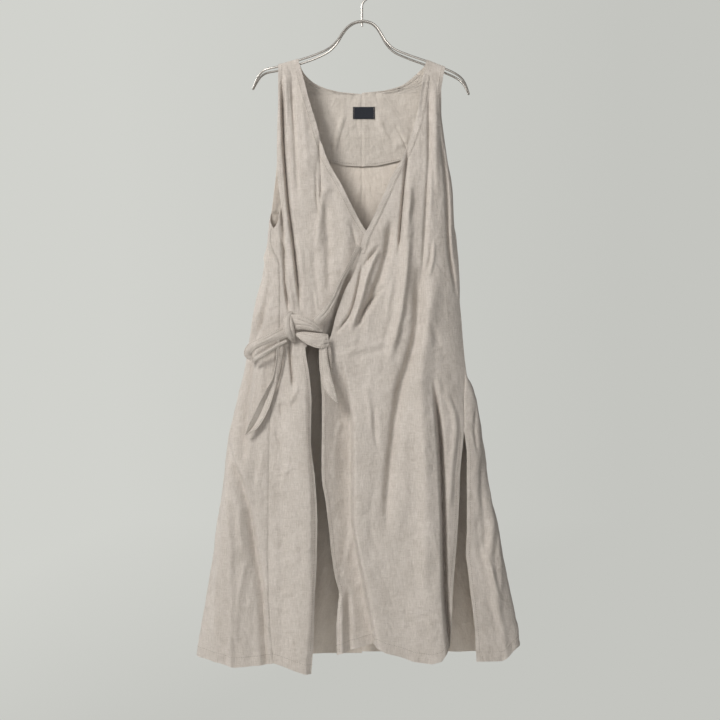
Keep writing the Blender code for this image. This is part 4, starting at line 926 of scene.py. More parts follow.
def facing_grid(half, surface):
    """Strip inside the back neck, made from the back's own points and moved in."""
    grid = surface.grid
    droop = FACING_DROOP * ease((DROOP_TOP - grid[..., 2:]) / DROOP_REACH)
    inside = lifted(surface, FACING_LIFT + FACING_WALL / 2 + droop, -1)
    width = grid.shape[1] - 1
    columns = np.arange(int(FACING_SIDE_SHARE * width) + 1)
    heights = grid[:, 0, 2]
    first = int(np.argmax(heights < FACING_TOP))
    last = int(np.argmax(heights < FACING_EDGE[-1].height + FACING_LAST_ROW)) - 1
    lower = np.interp(columns / width, column(FACING_EDGE, "share"), column(FACING_EDGE, "height"))
    foot = np.array([row_at_height(grid, index, lower[index]) for index in columns])
    lines = [inside[row, :len(columns)] for row in range(first, last + 1)]
    for share in np.linspace(0.0, 1.0, FACING_ROWS)[1:]:
        lines.append(on_grid(inside, last + (foot - last) * share, columns))
    return np.stack(lines)


def patch_grid():
    """Patch in front of the facing at the middle of the neck."""
    rows, columns = PATCH_GRID
    z, x = np.meshgrid(np.linspace(PATCH_TOP, PATCH_FOOT, rows),
                       np.linspace(PATCH_LEFT, PATCH_RIGHT, columns), indexing="ij")
    below_neck = [row for row in BACK_LEFT.sections if row.height < BACK_NECK - 1]
    curl = PATCH_CURL * np.cos((x - PATCH_LEFT) / (PATCH_RIGHT - PATCH_LEFT) * math.pi)
    return np.stack([x, at_height(below_neck, "mid_y", z) - PATCH_STAND + curl, z], axis=-1)


def strip_grid(piece):
    """Points of a strip of the tie: rows along its line, columns across its width."""
    rows = piece.strips
    track = steps_along(*(column(rows, name) for name in "xyz"))
    at = np.linspace(0.0, track[-1], TIE_ROWS)
    x, y, z, width, turn, bow = (smooth(track, column(rows, name), at) for name in Strip._fields)
    middle, turn = np.stack([x, y, z], axis=-1), np.radians(turn)[:, None]
    ahead = np.gradient(middle, axis=0)
    ahead /= np.linalg.norm(ahead, axis=1, keepdims=True)
    side = np.cross(ahead, [0.0, -1.0, 0.0])
    side /= np.linalg.norm(side, axis=1, keepdims=True).clip(1e-9)
    face = np.cross(side, ahead)
    leaned = side * np.cos(turn) + face * np.sin(turn)
    raised = face * np.cos(turn) - side * np.sin(turn)
    place = at / track[-1]
    lines = []
    for share in np.linspace(-1.0, 1.0, TIE_COLUMNS):
        rise = bow * (1 - share ** 2)
        for crease in piece.creases:
            fade = between(place, crease.start, crease.stop, STRIP_FADE)
            centre = crease.share + crease.drift * place
            rise = rise + crease.out * fade * np.exp(-((share - centre) / crease.width) ** 2)
        lines.append(middle + leaned * (share * width / 2)[:, None] + raised * rise[:, None])
    return np.stack(lines, axis=1)


def tie_grid(piece):
    """Points of a piece of the tie with its creases and the crumple of handled cloth."""
    grid = strip_grid(piece)
    seed = TIE_SEED + sum(ord(letter) for letter in piece.node)
    out = crumple(grid[..., 0] * TIE_GRAIN, grid[..., 2] * TIE_GRAIN, seed) * TIE_CRUMPLE
    return grid + grid_normals(grid) * out[..., None]


# ---------------------------------------------------------------- meshes

def wall_faces(rows, columns):
    """Quads of both sides and of the rim of a wall."""
    index = np.arange(rows * columns).reshape(rows, columns)
    a, b = index[:-1, :-1].ravel(), index[:-1, 1:].ravel()
    c, d = index[1:, 1:].ravel(), index[1:, :-1].ravel()
    count = rows * columns
    rim = np.concatenate([index[0], index[1:, -1], index[-1, -2::-1], index[-2:0:-1, 0]])
    there = np.roll(rim, -1)
    return np.concatenate([
        np.stack([a, d, c, b], axis=1),
        np.stack([a, b, c, d], axis=1) + count,
        np.stack([rim, there, there + count, rim + count], axis=1),
    ])


def volume(points, faces):
    total = 0.0
    for second, third in ((1, 2), (2, 3)):
        a, b, c = points[faces[:, 0]], points[faces[:, second]], points[faces[:, third]]
        total += np.sum(a * np.cross(b, c)) / 6.0
    return total


def placed(name, mesh):
    """An object of the mesh in the scene."""
    made = bpy.data.objects.new(name, mesh)
    bpy.context.scene.collection.objects.link(made)
    return made


def wall_object(name, surface, finish, inside=None):
    """Close a surface's middle points into a thin wall with a map of the flat cloth in metres."""
    grid = surface.grid
    rows, columns = grid.shape[:2]
    half = np.broadcast_to(np.asarray(surface.wall, float), (rows, columns))[..., None] / 2
    points = [(grid + sign * surface.out * half).reshape(-1, 3) for sign in (1, -1)]
    points = np.concatenate(points) * MM
    faces = wall_faces(rows, columns)
    if volume(points, faces) < 0:
        faces = faces[:, ::-1]
    mesh = bpy.data.meshes.new(name)
    mesh.from_pydata(points.tolist(), [], faces.tolist())
    mesh.update()
    mesh.shade_smooth()
    mesh.set_sharp_from_angle(angle=math.radians(RIM_ANGLE))
    flat = surface.flat
    if flat is None:
        flat = np.stack([row_lengths(grid), -column_lengths(grid)], axis=-1)
    flat = np.concatenate([flat.reshape(-1, 2)] * 2) * MM
    corners = np.empty(len(mesh.loops), dtype=np.int64)
    mesh.loops.foreach_get("vertex_index", corners)
    mesh.uv_layers.new(name=CLOTH_MAP).data.foreach_set("uv", flat[corners].ravel())
    mesh.materials.append(finish_named(finish))
    if inside:
        mesh.materials.append(finish_named(inside))
        side = (rows - 1) * (columns - 1)
        inner = np.zeros(len(faces), dtype=np.int32)
        inner[side:2 * side] = 1
        mesh.polygons.foreach_set("material_index", inner)
    return placed(name, mesh)


def line_object(name, lines):
    """Wires or sewing lines as bare edges; each line says if it is closed."""
    points, edges = [], []
    for line, closed in lines:
        first = len(points)
        points += [tuple(point) for point in np.asarray(line, float) * MM]
        edges += [(first + index, first + index + 1) for index in range(len(line) - 1)]
        if closed:
            edges.append((len(points) - 1, first))
    mesh = bpy.data.meshes.new(name)
    mesh.from_pydata(points, edges, [])
    return placed(name, mesh)


def cut_of(grid):
    """Width, length and area of the flat piece of cloth in metres."""
    across, down = row_lengths(grid), column_lengths(grid)
    width, length = (max(float(line.max()) * MM, LEAST_CUT) for line in (across, down))
    rows = (across[:-1, -1] + across[1:, -1]) / 2 * np.diff(down, axis=0).mean(axis=1)
    area = float(rows.sum()) * MM * MM
    return (width, length), min(max(area, LEAST_AREA * width * length), width * length)


def settle(made, node, grid=None):
    """Give a finished piece its place in the frame; a sheet of cloth's cut is worked out but not
    kept.
    """
    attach(made, BODY)
    if node:
        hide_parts(node)
    if grid is not None:
        flat, area = cut_of(grid)


def plain_surface(grid, wall, flat=None):
    return Surface(grid, grid_normals(grid), wall, flat)


# ---------------------------------------------------------------- node trees

def math_node(operation, swapped=False):
    """A sign between sums: it adds its Math node to their tree."""
    def method(self, *others):
        values = (self, *others)
        values = dict(enumerate(values[::-1] if swapped else values))
        made = self.tree.node("ShaderNodeMath", {"operation": operation}, values)
        return Sum(self.tree, made.outputs[0])
    return method


class Sum:
    """A socket that can be used in sums."""

    def __init__(self, tree, socket):
        self.tree, self.socket = tree, socket

    __add__ = __radd__ = math_node("ADD")
    __sub__ = math_node("SUBTRACT")
    __rsub__ = math_node("SUBTRACT", swapped=True)
    __mul__ = __rmul__ = math_node("MULTIPLY")
    __abs__ = math_node("ABSOLUTE")
    sine = math_node("SINE")
    larger = math_node("MAXIMUM")


class Tree:
    """A node tree with one way to add a node: type, settings first, then sockets."""

    def __init__(self, tree):
        self.tree = tree

    def node(self, kind, settings=None, sockets=None):
        made = self.tree.nodes.new(kind)
        for name, value in (settings or {}).items():
            setattr(made, name, value)
        for name, value in (sockets or {}).items():
            self.link(value, made.inputs[name])
        return made

    def link(self, value, socket):
        value = value.socket if isinstance(value, Sum) else value
        if isinstance(value, bpy.types.NodeSocket):
            self.tree.links.new(value, socket)
        else:
            socket.default_value = value

    def mix(self, low, high, factor):
        made = self.node("ShaderNodeMix", {"data_type": "RGBA"}, {0: factor, 6: low, 7: high})
        return made.outputs[2]

    def parts(self, vector):
        made = self.node("ShaderNodeSeparateXYZ", None, {"Vector": vector})
        return [Sum(self, made.outputs[name]) for name in "XYZ"]

    def place(self, kind="Object"):
        return self.node("ShaderNodeTexCoord").outputs[kind]


class Finish(Tree):
    """A material whose pattern is written as sums."""

    def __init__(self, name, sockets):
        self.material = bpy.data.materials.new(name)
        self.material.use_nodes = True
        super().__init__(self.material.node_tree)
        self.shader = self.tree.nodes["Principled BSDF"]
        for socket, value in sockets.items():
            self.feed(socket, value)

    def feed(self, socket, value):
        self.link(value, self.shader.inputs[socket])

    def cloth(self):
        """Places across and down the flat cloth, in metres."""
        made = self.node("ShaderNodeUVMap", {"uv_map": CLOTH_MAP})
        return self.parts(made.outputs["UV"])[:2]

    def noise(self, vector, scale=1.0, detail=2.0):
        if isinstance(vector, tuple):
            vector = self.node("ShaderNodeCombineXYZ", None, dict(zip("XYZ", vector))).outputs[0]
        sockets = {"Vector": vector, "Scale": scale, "Detail": detail, "Roughness": 0.5}
        return Sum(self, self.node("ShaderNodeTexNoise", None, sockets).outputs[0])

    def bump(self, height, distance, strength):
        sockets = {"Height": height, "Distance": distance, "Strength": strength}
        self.feed("Normal", self.node("ShaderNodeBump", None, sockets).outputs["Normal"])


def changed(colour, share, lift=0.0):
    """A colour made darker or lighter."""
    return [channel * share + lift for channel in colour[:3]] + [1.0]


# A pattern in the linen's finish: how often it changes in a metre across and down the cloth, how
# far it slants, where it starts, its detail, and its shares in the tone and in the height
Grain = namedtuple("Grain", "across down slant start detail tone height ridged")
GRAINS = table(
    Grain,
    (700.0, 55.0, 0.0, 0.0, 3.0, 1.3, 0.45, False),     # slubs of the warp
    (60.0, 900.0, 0.0, 7.0, 2.0, 1.0, 0.35, False),     # slubs of the weft
    (420.0, 240.0, 0.0, 5.0, 3.0, 0.7, 0.0, False),     # flecks
    (26.0, 15.0, 0.0, 13.0, 4.0, 0.7, 0.0, False),      # cloudiness
    (90.0, 42.0, 0.0, 21.0, 4.0, 0.0, 1.3, False),      # small creases
    (40.0, 22.0, 14.0, 27.0, 2.0, 0.0, -3.0, True),     # sharp creases
    (26.0, 38.0, -24.0, 33.0, 2.0, 0.0, -2.4, True),    # and sharp ones that slant the other way
)
THREAD_TONE = 0.16
THREAD_HEIGHT = 0.25


def linen_finish(name, light, dark, seed):
    """Plain weave of uneven threads, with slubs both ways and the dull sheen of washed linen."""
    sheen = {"Sheen Weight": 0.12, "Sheen Roughness": 0.6, "Specular IOR Level": 0.18}
    finish = Finish(name, sheen)
    u, v = finish.cloth()
    turn = math.pi / bpy.context.scene.dress_sizes.weave_pitch
    warp, weft = (u * turn).sine(), (v * turn).sine()
    crossing = warp * weft
    thread = (abs(warp) + crossing).larger(abs(weft) - crossing) * 0.5
    tone, height = 0.5, thread * THREAD_HEIGHT
    for grain in GRAINS:
        across, down = u * grain.across + v * grain.slant, v * grain.down
        value = finish.noise((across, down, seed + grain.start), detail=grain.detail)
        if grain.tone:
            tone = (value - 0.5) * grain.tone + tone
        if grain.height:
            height = height + (abs(value - 0.5) if grain.ridged else value) * grain.height
    tone = tone + (thread - 0.5) * THREAD_TONE
    finish.feed("Base Color", finish.mix(dark, light, tone))
    finish.feed("Roughness", 0.88 + (tone - 0.5) * 0.1)
    finish.bump(height, distance=0.0017, strength=0.95)
    return finish.material


def thread_finish(name, colour):
    """Sewing thread: fine twist across a slightly glossy strand."""
    finish = Finish(name, {"Roughness": 0.7})
    place = finish.place()
    x, _, z = finish.parts(place)
    twist = ((x + z * 0.7) * 9000.0).sine()
    tone = finish.noise(place, scale=60.0) + twist * 0.1
    finish.feed("Base Color", finish.mix(changed(colour, 0.8), colour, tone))
    finish.bump(twist, distance=0.0001, strength=0.5)
    return finish.material


def patch_finish(name, colour):
    """Dark woven ribbon: close slanting ribs and a faint lighter lint."""
    finish = Finish(name, {"Sheen Weight": 0.08})
    u, v = finish.cloth()
    ribs = ((u + v) * 9000.0).sine() * 0.5 + 0.5
    lint = finish.noise((u * 400.0, v * 900.0, 0.0), detail=3.0)
    tone = lint * 0.7 + ribs * 0.2 - 0.15
    finish.feed("Base Color", finish.mix(colour, changed(colour, 2.2, 0.004), tone))
    finish.feed("Roughness", 0.62 + lint * 0.25)
    finish.bump(ribs + lint, distance=0.0003, strength=0.6)
    return finish.material


def steel_finish(name, colour):
    """Bright drawn steel with faint marks in its roughness and a little dulling."""
    finish = Finish(name, {"Metallic": 1.0})
    place = finish.place()
    dull, marks = finish.noise(place, scale=55.0, detail=4.0), finish.noise(place, scale=220.0)
    finish.feed("Base Color", finish.mix(changed(colour, 0.78), colour, dull * 1.4 - 0.2))
    finish.feed("Roughness", 0.34 + dull * 0.12 + marks * 0.06)
    return finish.material


def floor_finish(name, colour):
    """Pale matt floor with the faintest unevenness."""
    finish = Finish(name, {"Roughness": 0.85})
    place = finish.place()
    cloudy = finish.noise(place, scale=1.6, detail=5.0)
    finish.feed("Base Color", finish.mix(changed(colour, 0.93), colour, cloudy))
    finish.bump(finish.noise(place, scale=90.0, detail=3.0), distance=0.0006, strength=0.25)
    return finish.material


# How each finish is made, from which of the scene's colours, and where its pattern starts
FINISHES = {
    "washed_linen": (linen_finish, "linen_light", "linen_dark", 0.0),
    "linen_facing": (linen_finish, "facing_light", "facing_dark", 31.0),
    # The inside of the back is painted lighter and warmer than the same linen outside: painted
    # light standing in for light that comes through the cloth and bounces inside the dress.
    "linen_inside": (linen_finish, "inside_light", "inside_dark", 53.0),
    "sewing_thread": (thread_finish, "thread"),
    "woven_patch": (patch_finish, "patch"),
    "drawn_steel": (steel_finish, "steel"),
    "pale_floor": (floor_finish, "floor"),
}


def finish_named(name):
    """The finish of that name, made on first use from the scene's colours and sizes."""
    found = bpy.data.materials.get(name)
    if found and found.users:
        return found
    colours = bpy.context.scene.dress_colours
    maker, *values = FINISHES[name]
    values = [getattr(colours, value)[:] if isinstance(value, str) else value for value in values]
    return maker(name, *values)


class Geometry(Tree):
    """A geometry tree with named inputs that ends in Realize Instances and Set Material."""

    def __init__(self, name, inputs):
        group = bpy.data.node_groups.new(name, "GeometryNodeTree")
        super().__init__(group)
        sockets = group.interface
        sockets.new_socket("Geometry", in_out="INPUT", socket_type="NodeSocketGeometry")
        self.names = {}
        for label, kind in inputs.items():
            kind = "NodeSocket" + kind
            made = sockets.new_socket(label, in_out="INPUT", socket_type=kind)
            self.names[label] = made.identifier
        sockets.new_socket("Geometry", in_out="OUTPUT", socket_type="NodeSocketGeometry")
        self.start = group.nodes.new("NodeGroupInput").outputs
        self.end = group.nodes.new("NodeGroupOutput").inputs
        line = {"Mesh": self.start["Geometry"]}
        self.curve = self.node("GeometryNodeMeshToCurve", None, line).outputs[0]

    def close(self, geometry):
        real = self.node("GeometryNodeRealizeInstances", None, {"Geometry": geometry})
        sockets = {"Geometry": real.outputs[0], "Material": self.start["Material"]}
        done = self.node("GeometryNodeSetMaterial", None, sockets)
        self.tree.links.new(done.outputs[0], self.end[0])
        return self

    def make(self, lines, values):
        """Run the tree on a line object and leave a plain mesh in it."""
        modifier = lines.modifiers.new("build", "NODES")
        modifier.node_group = self.tree
        for label, value in values.items():
            modifier[self.names[label]] = value
        graph = bpy.context.evaluated_depsgraph_get()
        mesh = bpy.data.meshes.new_from_object(lines.evaluated_get(graph))
        lines.modifiers.clear()
        lines.data = mesh
        return lines


def wire_tree():
    """A round bar along each line."""
    inputs = {"Radius": "Float", "Sides": "Int", "Material": "Material"}
    tree = Geometry("wire_along_a_line", inputs)
    sockets = {"Resolution": tree.start["Sides"], "Radius": tree.start["Radius"]}
    ring = tree.node("GeometryNodeCurvePrimitiveCircle", None, sockets)
    sockets = {"Curve": tree.curve, "Profile Curve": ring.outputs[0], "Fill Caps": True}
    bar = tree.node("GeometryNodeCurveToMesh", None, sockets)
    soft = tree.node("GeometryNodeSetShadeSmooth", None, {"Geometry": bar.outputs[0]})
    return tree.close(soft.outputs[0])


def stitch_tree():
    """Short rounded stitches at even steps along each sewing line."""
    tree = Geometry("stitches_along_a_line", {
        "Pitch": "Float", "Stitch Length": "Float", "Thread Radius": "Float", "Seed": "Int",
        "Material": "Material"})
    start = tree.start
    sockets = {"Curve": tree.curve, "Length": start["Pitch"]}
    steps = tree.node("GeometryNodeResampleCurve", {"mode": "LENGTH"}, sockets)
    bead = tree.node("GeometryNodeMeshUVSphere", None, {"Segments": 6, "Rings": 4, "Radius": 1.0})
    half = Sum(tree, start["Stitch Length"]) * 0.5
    sockets = {"X": half, "Y": start["Thread Radius"], "Z": start["Thread Radius"]}
    size = tree.node("ShaderNodeCombineXYZ", None, sockets)
    sockets = {2: 0.8, 3: 1.1, "Seed": start["Seed"]}
    uneven = tree.node("FunctionNodeRandomValue", {"data_type": "FLOAT"}, sockets)
    sockets = {0: size.outputs[0], "Scale": uneven.outputs[1]}
    sized = tree.node("ShaderNodeVectorMath", {"operation": "SCALE"}, sockets)
    sockets = {"Vector": tree.node("GeometryNodeInputTangent").outputs[0]}
    turned = tree.node("FunctionNodeAlignRotationToVector", {"axis": "X"}, sockets)
    sockets = {"Points": steps.outputs[0], "Instance": bead.outputs[0],
               "Rotation": turned.outputs[0], "Scale": sized.outputs[0]}
    return tree.close(tree.node("GeometryNodeInstanceOnPoints", None, sockets).outputs[0])


# ---------------------------------------------------------------- sewing lines

def edge_line(surface, distance, side, top, foot):
    """Line on the outside, at a distance from a panel's side edge, between two heights."""
    lengths = row_lengths(surface.grid)
    raised = lifted(surface, STITCH_LIFT)
    end = 0 if side == "left" else -1
    points = []
    for row, across in enumerate(lengths):
        if foot <= surface.grid[row, end, 2] <= top:
            reach = distance if side == "left" else across[-1] - distance
            points.append(on_grid(raised, row, np.interp(reach, across, np.arange(len(across)))))
    return points


def hem_line(surface, distance):
    """Line on the outside, at a distance above the hem."""
    raised = lifted(surface, STITCH_LIFT)
    return [on_grid(raised, np.interp(down[-1] - distance, down, np.arange(len(down))), index)
            for index, down in enumerate(column_lengths(surface.grid).T)]


def dart_line(front):
    """Line on the outside of a front, along the dart."""
    heights = np.linspace(DART_LINE[0].height, DART_LINE[-1].height, DART_POINTS)
    raised = lifted(front, STITCH_LIFT)
    points = []
    for x, z in zip(at_height(DART_LINE, "x", heights), heights):
        row = row_at_height(front.grid, front.grid.shape[1] // 2, z)
        line = front.grid[int(row), :, 0]
        points.append(on_grid(raised, row, np.interp(x, line, np.arange(len(line)))))
    return points


def share_line(grid, out, wall, row=None, across=None):
    """Line above a small piece's wall, at a share of its rows or of its width."""
    raised = grid + out * (wall / 2 + STITCH_LIFT)
    rows, columns = grid.shape[0] - 1.0, grid.shape[1] - 1.0
    if row is not None:
        return on_grid(raised, rows * row, np.arange(columns + 1))
    return on_grid(raised, np.arange(rows + 1), columns * across)


# ---------------------------------------------------------------- the hanger

def tip_turn(before, end):
    """Half circle from the front wire round to the rear one, beyond the hanger's tip."""
    flat = np.array([1.0, 0.0, 1.0])
    ahead = (end - before) * flat
    ahead /= np.linalg.norm(ahead)
    return np.array([end * flat - end[1] * (ahead * np.sin(turn) - np.array([0, np.cos(turn), 0]))
                     for turn in np.radians(np.arange(TIP_STEP, 180, TIP_STEP))])


def hanger_path():
    """Closed line of the hanger: along the front wire and back along the rear one."""
    x, height, half = (column(HANGER_WIRE, name) for name in Wire._fields)
    track = steps_along(x, height)
    at = np.linspace(0.0, track[-1], int(track[-1] / WIRE_STEP))
    x, height, half = (smooth(track, values, at) for values in (x, height, half))
    front, rear = (np.stack([x, sign * half, height], axis=-1) for sign in (-1, 1))
    right_tip, left_tip = tip_turn(front[-2], front[-1]), tip_turn(front[1], front[0])
    return np.concatenate([front, right_tip, rear[::-1], left_tip[::-1]])


def hook_path():
    """Stem, the bend out of it and most of a circle over the rod."""
    turns = np.radians(np.linspace(*HOOK_TURN, HOOK_POINTS))
    ring = [(HOOK_RADIUS * np.cos(t), HOOK_CENTRE + HOOK_RADIUS * np.sin(t)) for t in turns]
    return [(x, 0.0, z) for x, z in (*STEM, *ring)]


# ---------------------------------------------------------------- sizes and colours

def size(label, default, about):
    return bpy.props.FloatProperty(
        name=label, description=about, default=default, min=0.0, subtype="DISTANCE", unit="LENGTH",
        precision=5)


def paint(label, default, about):
    return bpy.props.FloatVectorProperty(
        name=label, description=about, default=(*default, 1.0), size=4, min=0.0, max=1.0,
        subtype="COLOR")


class DressSizes(bpy.types.PropertyGroup):
    """Sizes of the cloth, the sewing and the wire."""
    cloth: size("Cloth", 0.0008, "Thickness of the linen")
    turned_rise: size("Turned edge", 0.0007, "How much thicker a turned edge is")
    edge_turn: size("Edge turn", 0.008, "Width of the turned edge at armholes, flap and slit")
    hem_depth: size("Hem", 0.020, "Depth of the hem")
    crumple: size("Crumple", 0.00075, "Height of the small creases of washed cloth")
    weave_pitch: size("Weave", 0.0009, "Distance from thread to thread")
    column_step: size("Column step", 0.002, "Distance between points across a front")
    back_column_step: size("Back column step", 0.003, "Distance between points across a back half")
    row_step: size("Row step", 0.0055, "Distance between points down a panel")
    stitch_pitch: size("Stitch pitch", 0.0034, "Distance from stitch to stitch")
    stitch_length: size("Stitch length", 0.0026, "Length of one stitch")
    thread_radius: size("Thread radius", 0.0004, "Radius of the sewing thread")
    wire_radius: size("Wire radius", 0.002, "Radius of the hanger's wire")


class DressColours(bpy.types.PropertyGroup):
    """Colours of the finishes."""
    linen_light: paint("Linen, light", (0.715, 0.656, 0.60), "Lighter threads of the linen")
    linen_dark: paint("Linen, dark", (0.50, 0.447, 0.39), "Darker threads of the linen")
    facing_light: paint("Facing, light", (0.73, 0.67, 0.605), "Lighter threads of the facing")
    facing_dark: paint("Facing, dark", (0.555, 0.50, 0.435), "Darker threads of the facing")
    # The inside colours are painted lighter and warmer than the outside linen: painted light
    # inside the back, not a different cloth.
    inside_light: paint("Inside, light", (0.84, 0.765, 0.68), "Lighter threads inside the back")
    inside_dark: paint("Inside, dark", (0.69, 0.61, 0.525), "Darker threads inside the back")
    thread: paint("Thread", (0.36, 0.315, 0.265), "Sewing thread")
    patch: paint("Patch", (0.006, 0.008, 0.014), "Woven patch inside the neck")
    steel: paint("Steel", (0.60, 0.565, 0.52), "Wire of the hanger")
    floor: paint("Floor", (0.74, 0.74, 0.72), "Floor of the studio")
    # The surround's right colour is painted shade of a backdrop lit from the left.
    sky: paint("Surround", (0.638, 0.645, 0.610), "Pale grey seen behind it, at the left")
    sky_painted_shade: paint("Surround, right", (0.552, 0.558, 0.527), "The same at the viewer's right")
    soft_light: paint("Soft light", (0.235, 0.232, 0.228), "Light that comes from all sides")


# ---------------------------------------------------------------- operators

class DRESS_OT_hanger(bpy.types.Operator):
    """Build the double wire of the hanger and its hook"""
    bl_idname = "dress.hanger"
    bl_label = "Hanger"

    def execute(self, context):
        tree = wire_tree()
        radius = context.scene.dress_sizes.wire_radius
        values = {"Radius": radius, "Sides": WIRE_SIDES, "Material": finish_named("drawn_steel")}
        for node, path, closed in (
                ("hanger_body", hanger_path(), True), ("hanger_hook", hook_path(), False)):
            wire = line_object("wire_" + node, [(path, closed)])
            settle(tree.make(wire, values), node)
        return {"FINISHED"}


class DRESS_OT_fronts(bpy.types.Operator):
    """Build both fronts and the bands on their neck edges"""
    bl_idname = "dress.fronts"
    bl_label = "Fronts and neck bands"

    def execute(self, context):
        for node, front, edge, ends in FRONT_PIECES:
            name, surface = "linen_" + node, front_surface(front)
            made = wall_object(name, surface, "washed_linen")
            settle(made, node, surface.grid)
            band = neck_band_grid(surface, edge, *ends)
            made = wall_object(name + "_band", plain_surface(band, BAND_WALL), "washed_linen")
            settle(made, node + "_neck_band", band)
        return {"FINISHED"}


class DRESS_OT_backs(bpy.types.Operator):
    """Build both halves of the back"""
    bl_idname = "dress.backs"
    bl_label = "Backs"

    def execute(self, context):
        for node, half in BACK_PIECES:
            surface = back_surface(half)
            # Its inner side gets the lighter inside finish: painted light inside the back.
            made = wall_object("linen_" + node, surface, "washed_linen", "linen_inside")
            settle(made, node, surface.grid)
        return {"FINISHED"}


class DRESS_OT_facing(bpy.types.Operator):
    """Build the facing inside the back neck and the bare patch on it"""
    bl_idname = "dress.facing"
    bl_label = "Facing and patch"

    def execute(self, context):
        for name, half in BACK_PIECES:
            facing = facing_grid(half, back_surface(half))
            node = name.replace("back", "back_facing")
            doubled = ease((ALLOWANCE_WIDTH - row_lengths(facing)) / EDGE_SOFT)
            wall = FACING_WALL + ALLOWANCE_RISE * doubled
            surface = plain_surface(facing, wall, panel_map(facing, "left"))
            made = wall_object("linen_" + node, surface, "linen_facing")
            settle(made, node, facing)
        patch = patch_grid()
        made = wall_object("woven_neck_patch", plain_surface(patch, PATCH_WALL), "woven_patch")
        settle(made, "neck_patch", patch)
        return {"FINISHED"}


class DRESS_OT_tie(bpy.types.Operator):
    """Build the tie, its knot, its loops and its ends"""
    bl_idname = "dress.tie"
    bl_label = "Tie and bow"

    def execute(self, context):
        for piece in TIE_PIECES:
            grid = tie_grid(piece)
            surface = plain_surface(grid, TIE_WALL)
            made = wall_object("linen_" + piece.node, surface, "washed_linen")
            settle(made, piece.node, grid)
        return {"FINISHED"}


class DRESS_OT_stitches(bpy.types.Operator):
    """Sew the hems, turned edges, neck bands, facing, middle seam and dart"""
    bl_idname = "dress.stitches"
    bl_label = "Stitches"

    def execute(self, context):
        sizes = context.scene.dress_sizes
        turn, hem = sizes.edge_turn / MM - EDGE_SOFT, sizes.hem_depth / MM - HEM_SOFT
        under, over = front_surface(UNDER), front_surface(OVER)
        left, right = back_surface(BACK_LEFT), back_surface(BACK_RIGHT)
        lines = [hem_line(surface, hem) for surface in (under, over, left, right)]
        # Surface, distance from its edge, the edge, and the heights of the line's two ends
        lines += [edge_line(*line) for line in (
            (under, turn, "left", ARMHOLE_TOP, UNDERARM + 10),
            (under, turn, "right", OVERLAP_FOOT - 8, STITCH_FOOT),
            (over, turn, "right", ARMHOLE_TOP, UNDERARM + 10),
            (over, turn, "left", OVERLAP_FOOT - 30, STITCH_FOOT),
            (over, turn, "right", SLIT_TOP - 4, STITCH_FOOT),
            (left, turn, "right", ARMHOLE_TOP, UNDERARM + 12),
            (right, turn, "right", ARMHOLE_TOP, UNDERARM + 12),
            (right, turn, "right", SLIT_TOP - 20, STITCH_FOOT),
            (left, SEAM_STITCH, "left", SEAM_STITCH_TOP, STITCH_FOOT),
            (right, SEAM_STITCH, "left", SEAM_STITCH_TOP, STITCH_FOOT),
        )]
        for (_, _, edge, ends), surface in zip(FRONT_PIECES, (under, over)):
            band = neck_band_grid(surface, edge, *ends)
            inner = 1 - BAND_STITCH if edge == "left" else BAND_STITCH
            lines.append(share_line(band, grid_normals(band), BAND_WALL, across=inner))
        for (_, half), surface in zip(BACK_PIECES, (left, right)):
            facing = facing_grid(half, surface)
            inward = half.sign * grid_normals(facing)
            lines.append(share_line(facing, inward, FACING_WALL, row=FACING_STITCH_ROW))
            lines.append(share_line(facing, inward, FACING_WALL, across=FACING_SEAM_SHARE))
        lines.append(dart_line(over))
        for piece in TIE_PIECES:
            grid = tie_grid(piece)
            out = grid_normals(grid)
            out = out * np.where(out[..., 1:2] > 0, -1.0, 1.0)
            for share in (TIE_STITCH, 1 - TIE_STITCH):
                lines.append(share_line(grid, out, TIE_WALL, across=share))
        patch = patch_grid()
        for share in (PATCH_STITCH, 1 - PATCH_STITCH):
            lines.append(share_line(patch, grid_normals(patch), PATCH_WALL, across=share))
        sewn = line_object("stitches", [(line, False) for line in lines if len(line) > 1])
        values = {
            "Pitch": sizes.stitch_pitch, "Stitch Length": sizes.stitch_length,
            "Thread Radius": sizes.thread_radius, "Seed": STITCH_SEED,
            "Material": finish_named("sewing_thread"),
        }
        settle(stitch_tree().make(sewn, values), None)
        return {"FINISHED"}


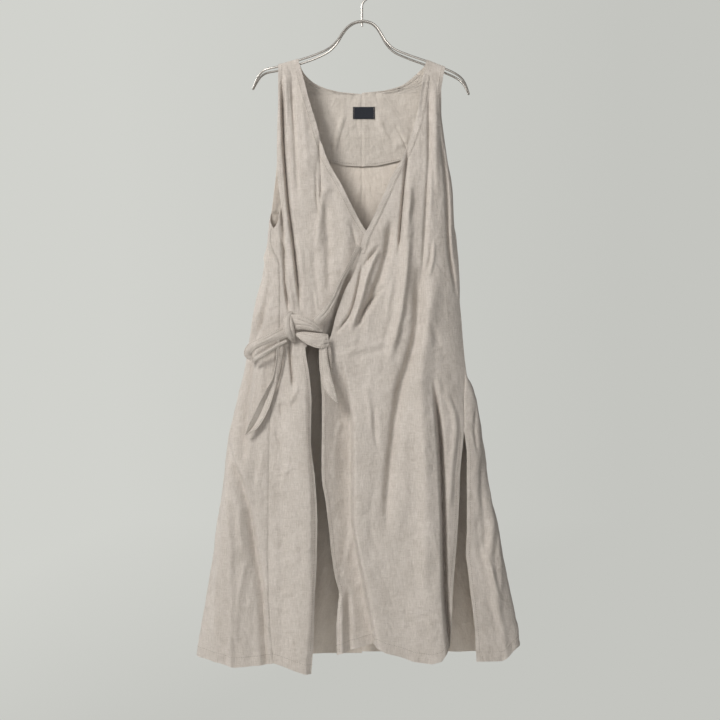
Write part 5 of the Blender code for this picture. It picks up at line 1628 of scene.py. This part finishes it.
class DRESS_OT_stage(bpy.types.Operator):
    """Set the floor, the soft lights and the camera"""
    bl_idname = "dress.stage"
    bl_label = "Floor, lights and camera"

    def execute(self, context):
        scene = context.scene
        mesh = bpy.data.meshes.new("floor")
        half, front, rear = FLOOR_SIZE / 2, FLOOR_REAR - FLOOR_SIZE, FLOOR_REAR
        corners = [(-half, front), (half, front), (half, rear), (-half, rear)]
        mesh.from_pydata([(x, y, FLOOR_HEIGHT) for x, y in corners], [], [(0, 1, 2, 3)])
        mesh.materials.append(finish_named("pale_floor"))
        placed("floor", mesh)
        scene.world = bpy.data.worlds.new("studio")
        scene.world.use_nodes = True
        studio, nodes = Tree(scene.world.node_tree), scene.world.node_tree.nodes
        # The surround seen by the camera is painted: darker to the right and towards the floor, as
        # painted shade; the soft light below is what lights the scene.
        rightward, _, upward = studio.parts(studio.place("Generated"))
        shaded = rightward * SHADE_RIGHTWARD + SHADE_START
        shaded = shaded + (SHADE_LOW - upward).larger(0.0) * SHADE_DOWNWARD
        colours = scene.dress_colours
        plain = nodes["Background"]
        seen = studio.mix(colours.sky[:], colours.sky_painted_shade[:], shaded)
        studio.link(seen, plain.inputs["Color"])
        soft = studio.node("ShaderNodeBackground", None, {"Color": colours.soft_light[:]})
        from_camera = studio.node("ShaderNodeLightPath").outputs["Is Camera Ray"]
        sockets = {0: from_camera, 1: soft.outputs[0], 2: plain.outputs[0]}
        both = studio.node("ShaderNodeMixShader", None, sockets)
        studio.link(both.outputs[0], nodes["World Output"].inputs["Surface"])
        for lamp in LAMPS:
            light = bpy.data.lights.new(lamp.name, "AREA")
            light.shape = "RECTANGLE"
            light.size, light.size_y = lamp.wide, lamp.tall
            light.energy, light.color = lamp.power, lamp.colour
            made = placed(lamp.name, light)
            made.location = lamp.place
            aim = Vector(LAMP_AIM) - made.location
            made.rotation_euler = aim.to_track_quat("-Z", "Y").to_euler()
        view = bpy.data.cameras.new("camera")
        view.sensor_width, view.lens = CAMERA_SENSOR, CAMERA_LENS
        scene.camera = placed("camera", view)
        scene.camera.location = CAMERA_PLACE
        scene.camera.rotation_euler = (math.radians(90), 0.0, 0.0)
        scene.view_settings.view_transform = "Standard"
        return {"FINISHED"}


class DRESS_PT_panel(bpy.types.Panel):
    """Sizes, colours and pieces of the dress"""
    bl_label = "Linen wrap dress"
    bl_idname = "DRESS_PT_panel"
    bl_space_type = "VIEW_3D"
    bl_region_type = "UI"
    bl_category = "Dress"

    def draw(self, context):
        layout = self.layout
        for group in (context.scene.dress_sizes, context.scene.dress_colours):
            box = layout.box()
            for name in group.__annotations__:
                box.prop(group, name)
        for operator in OPERATORS:
            layout.operator(operator.bl_idname)


OPERATORS = (
    DRESS_OT_stage, DRESS_OT_hanger, DRESS_OT_backs, DRESS_OT_facing, DRESS_OT_fronts,
    DRESS_OT_tie, DRESS_OT_stitches,
)
CLASSES = (DressSizes, DressColours, *OPERATORS, DRESS_PT_panel)


def register():
    for kind in CLASSES:
        bpy.utils.register_class(kind)
    bpy.types.Scene.dress_sizes = bpy.props.PointerProperty(type=DressSizes)
    bpy.types.Scene.dress_colours = bpy.props.PointerProperty(type=DressColours)


def unregister():
    del bpy.types.Scene.dress_colours
    del bpy.types.Scene.dress_sizes
    for kind in reversed(CLASSES):
        bpy.utils.unregister_class(kind)


def main():
    register()
    for operator in OPERATORS:
        group, name = operator.bl_idname.split(".")
        getattr(getattr(bpy.ops, group), name)()


if __name__ == "__main__":
    main()
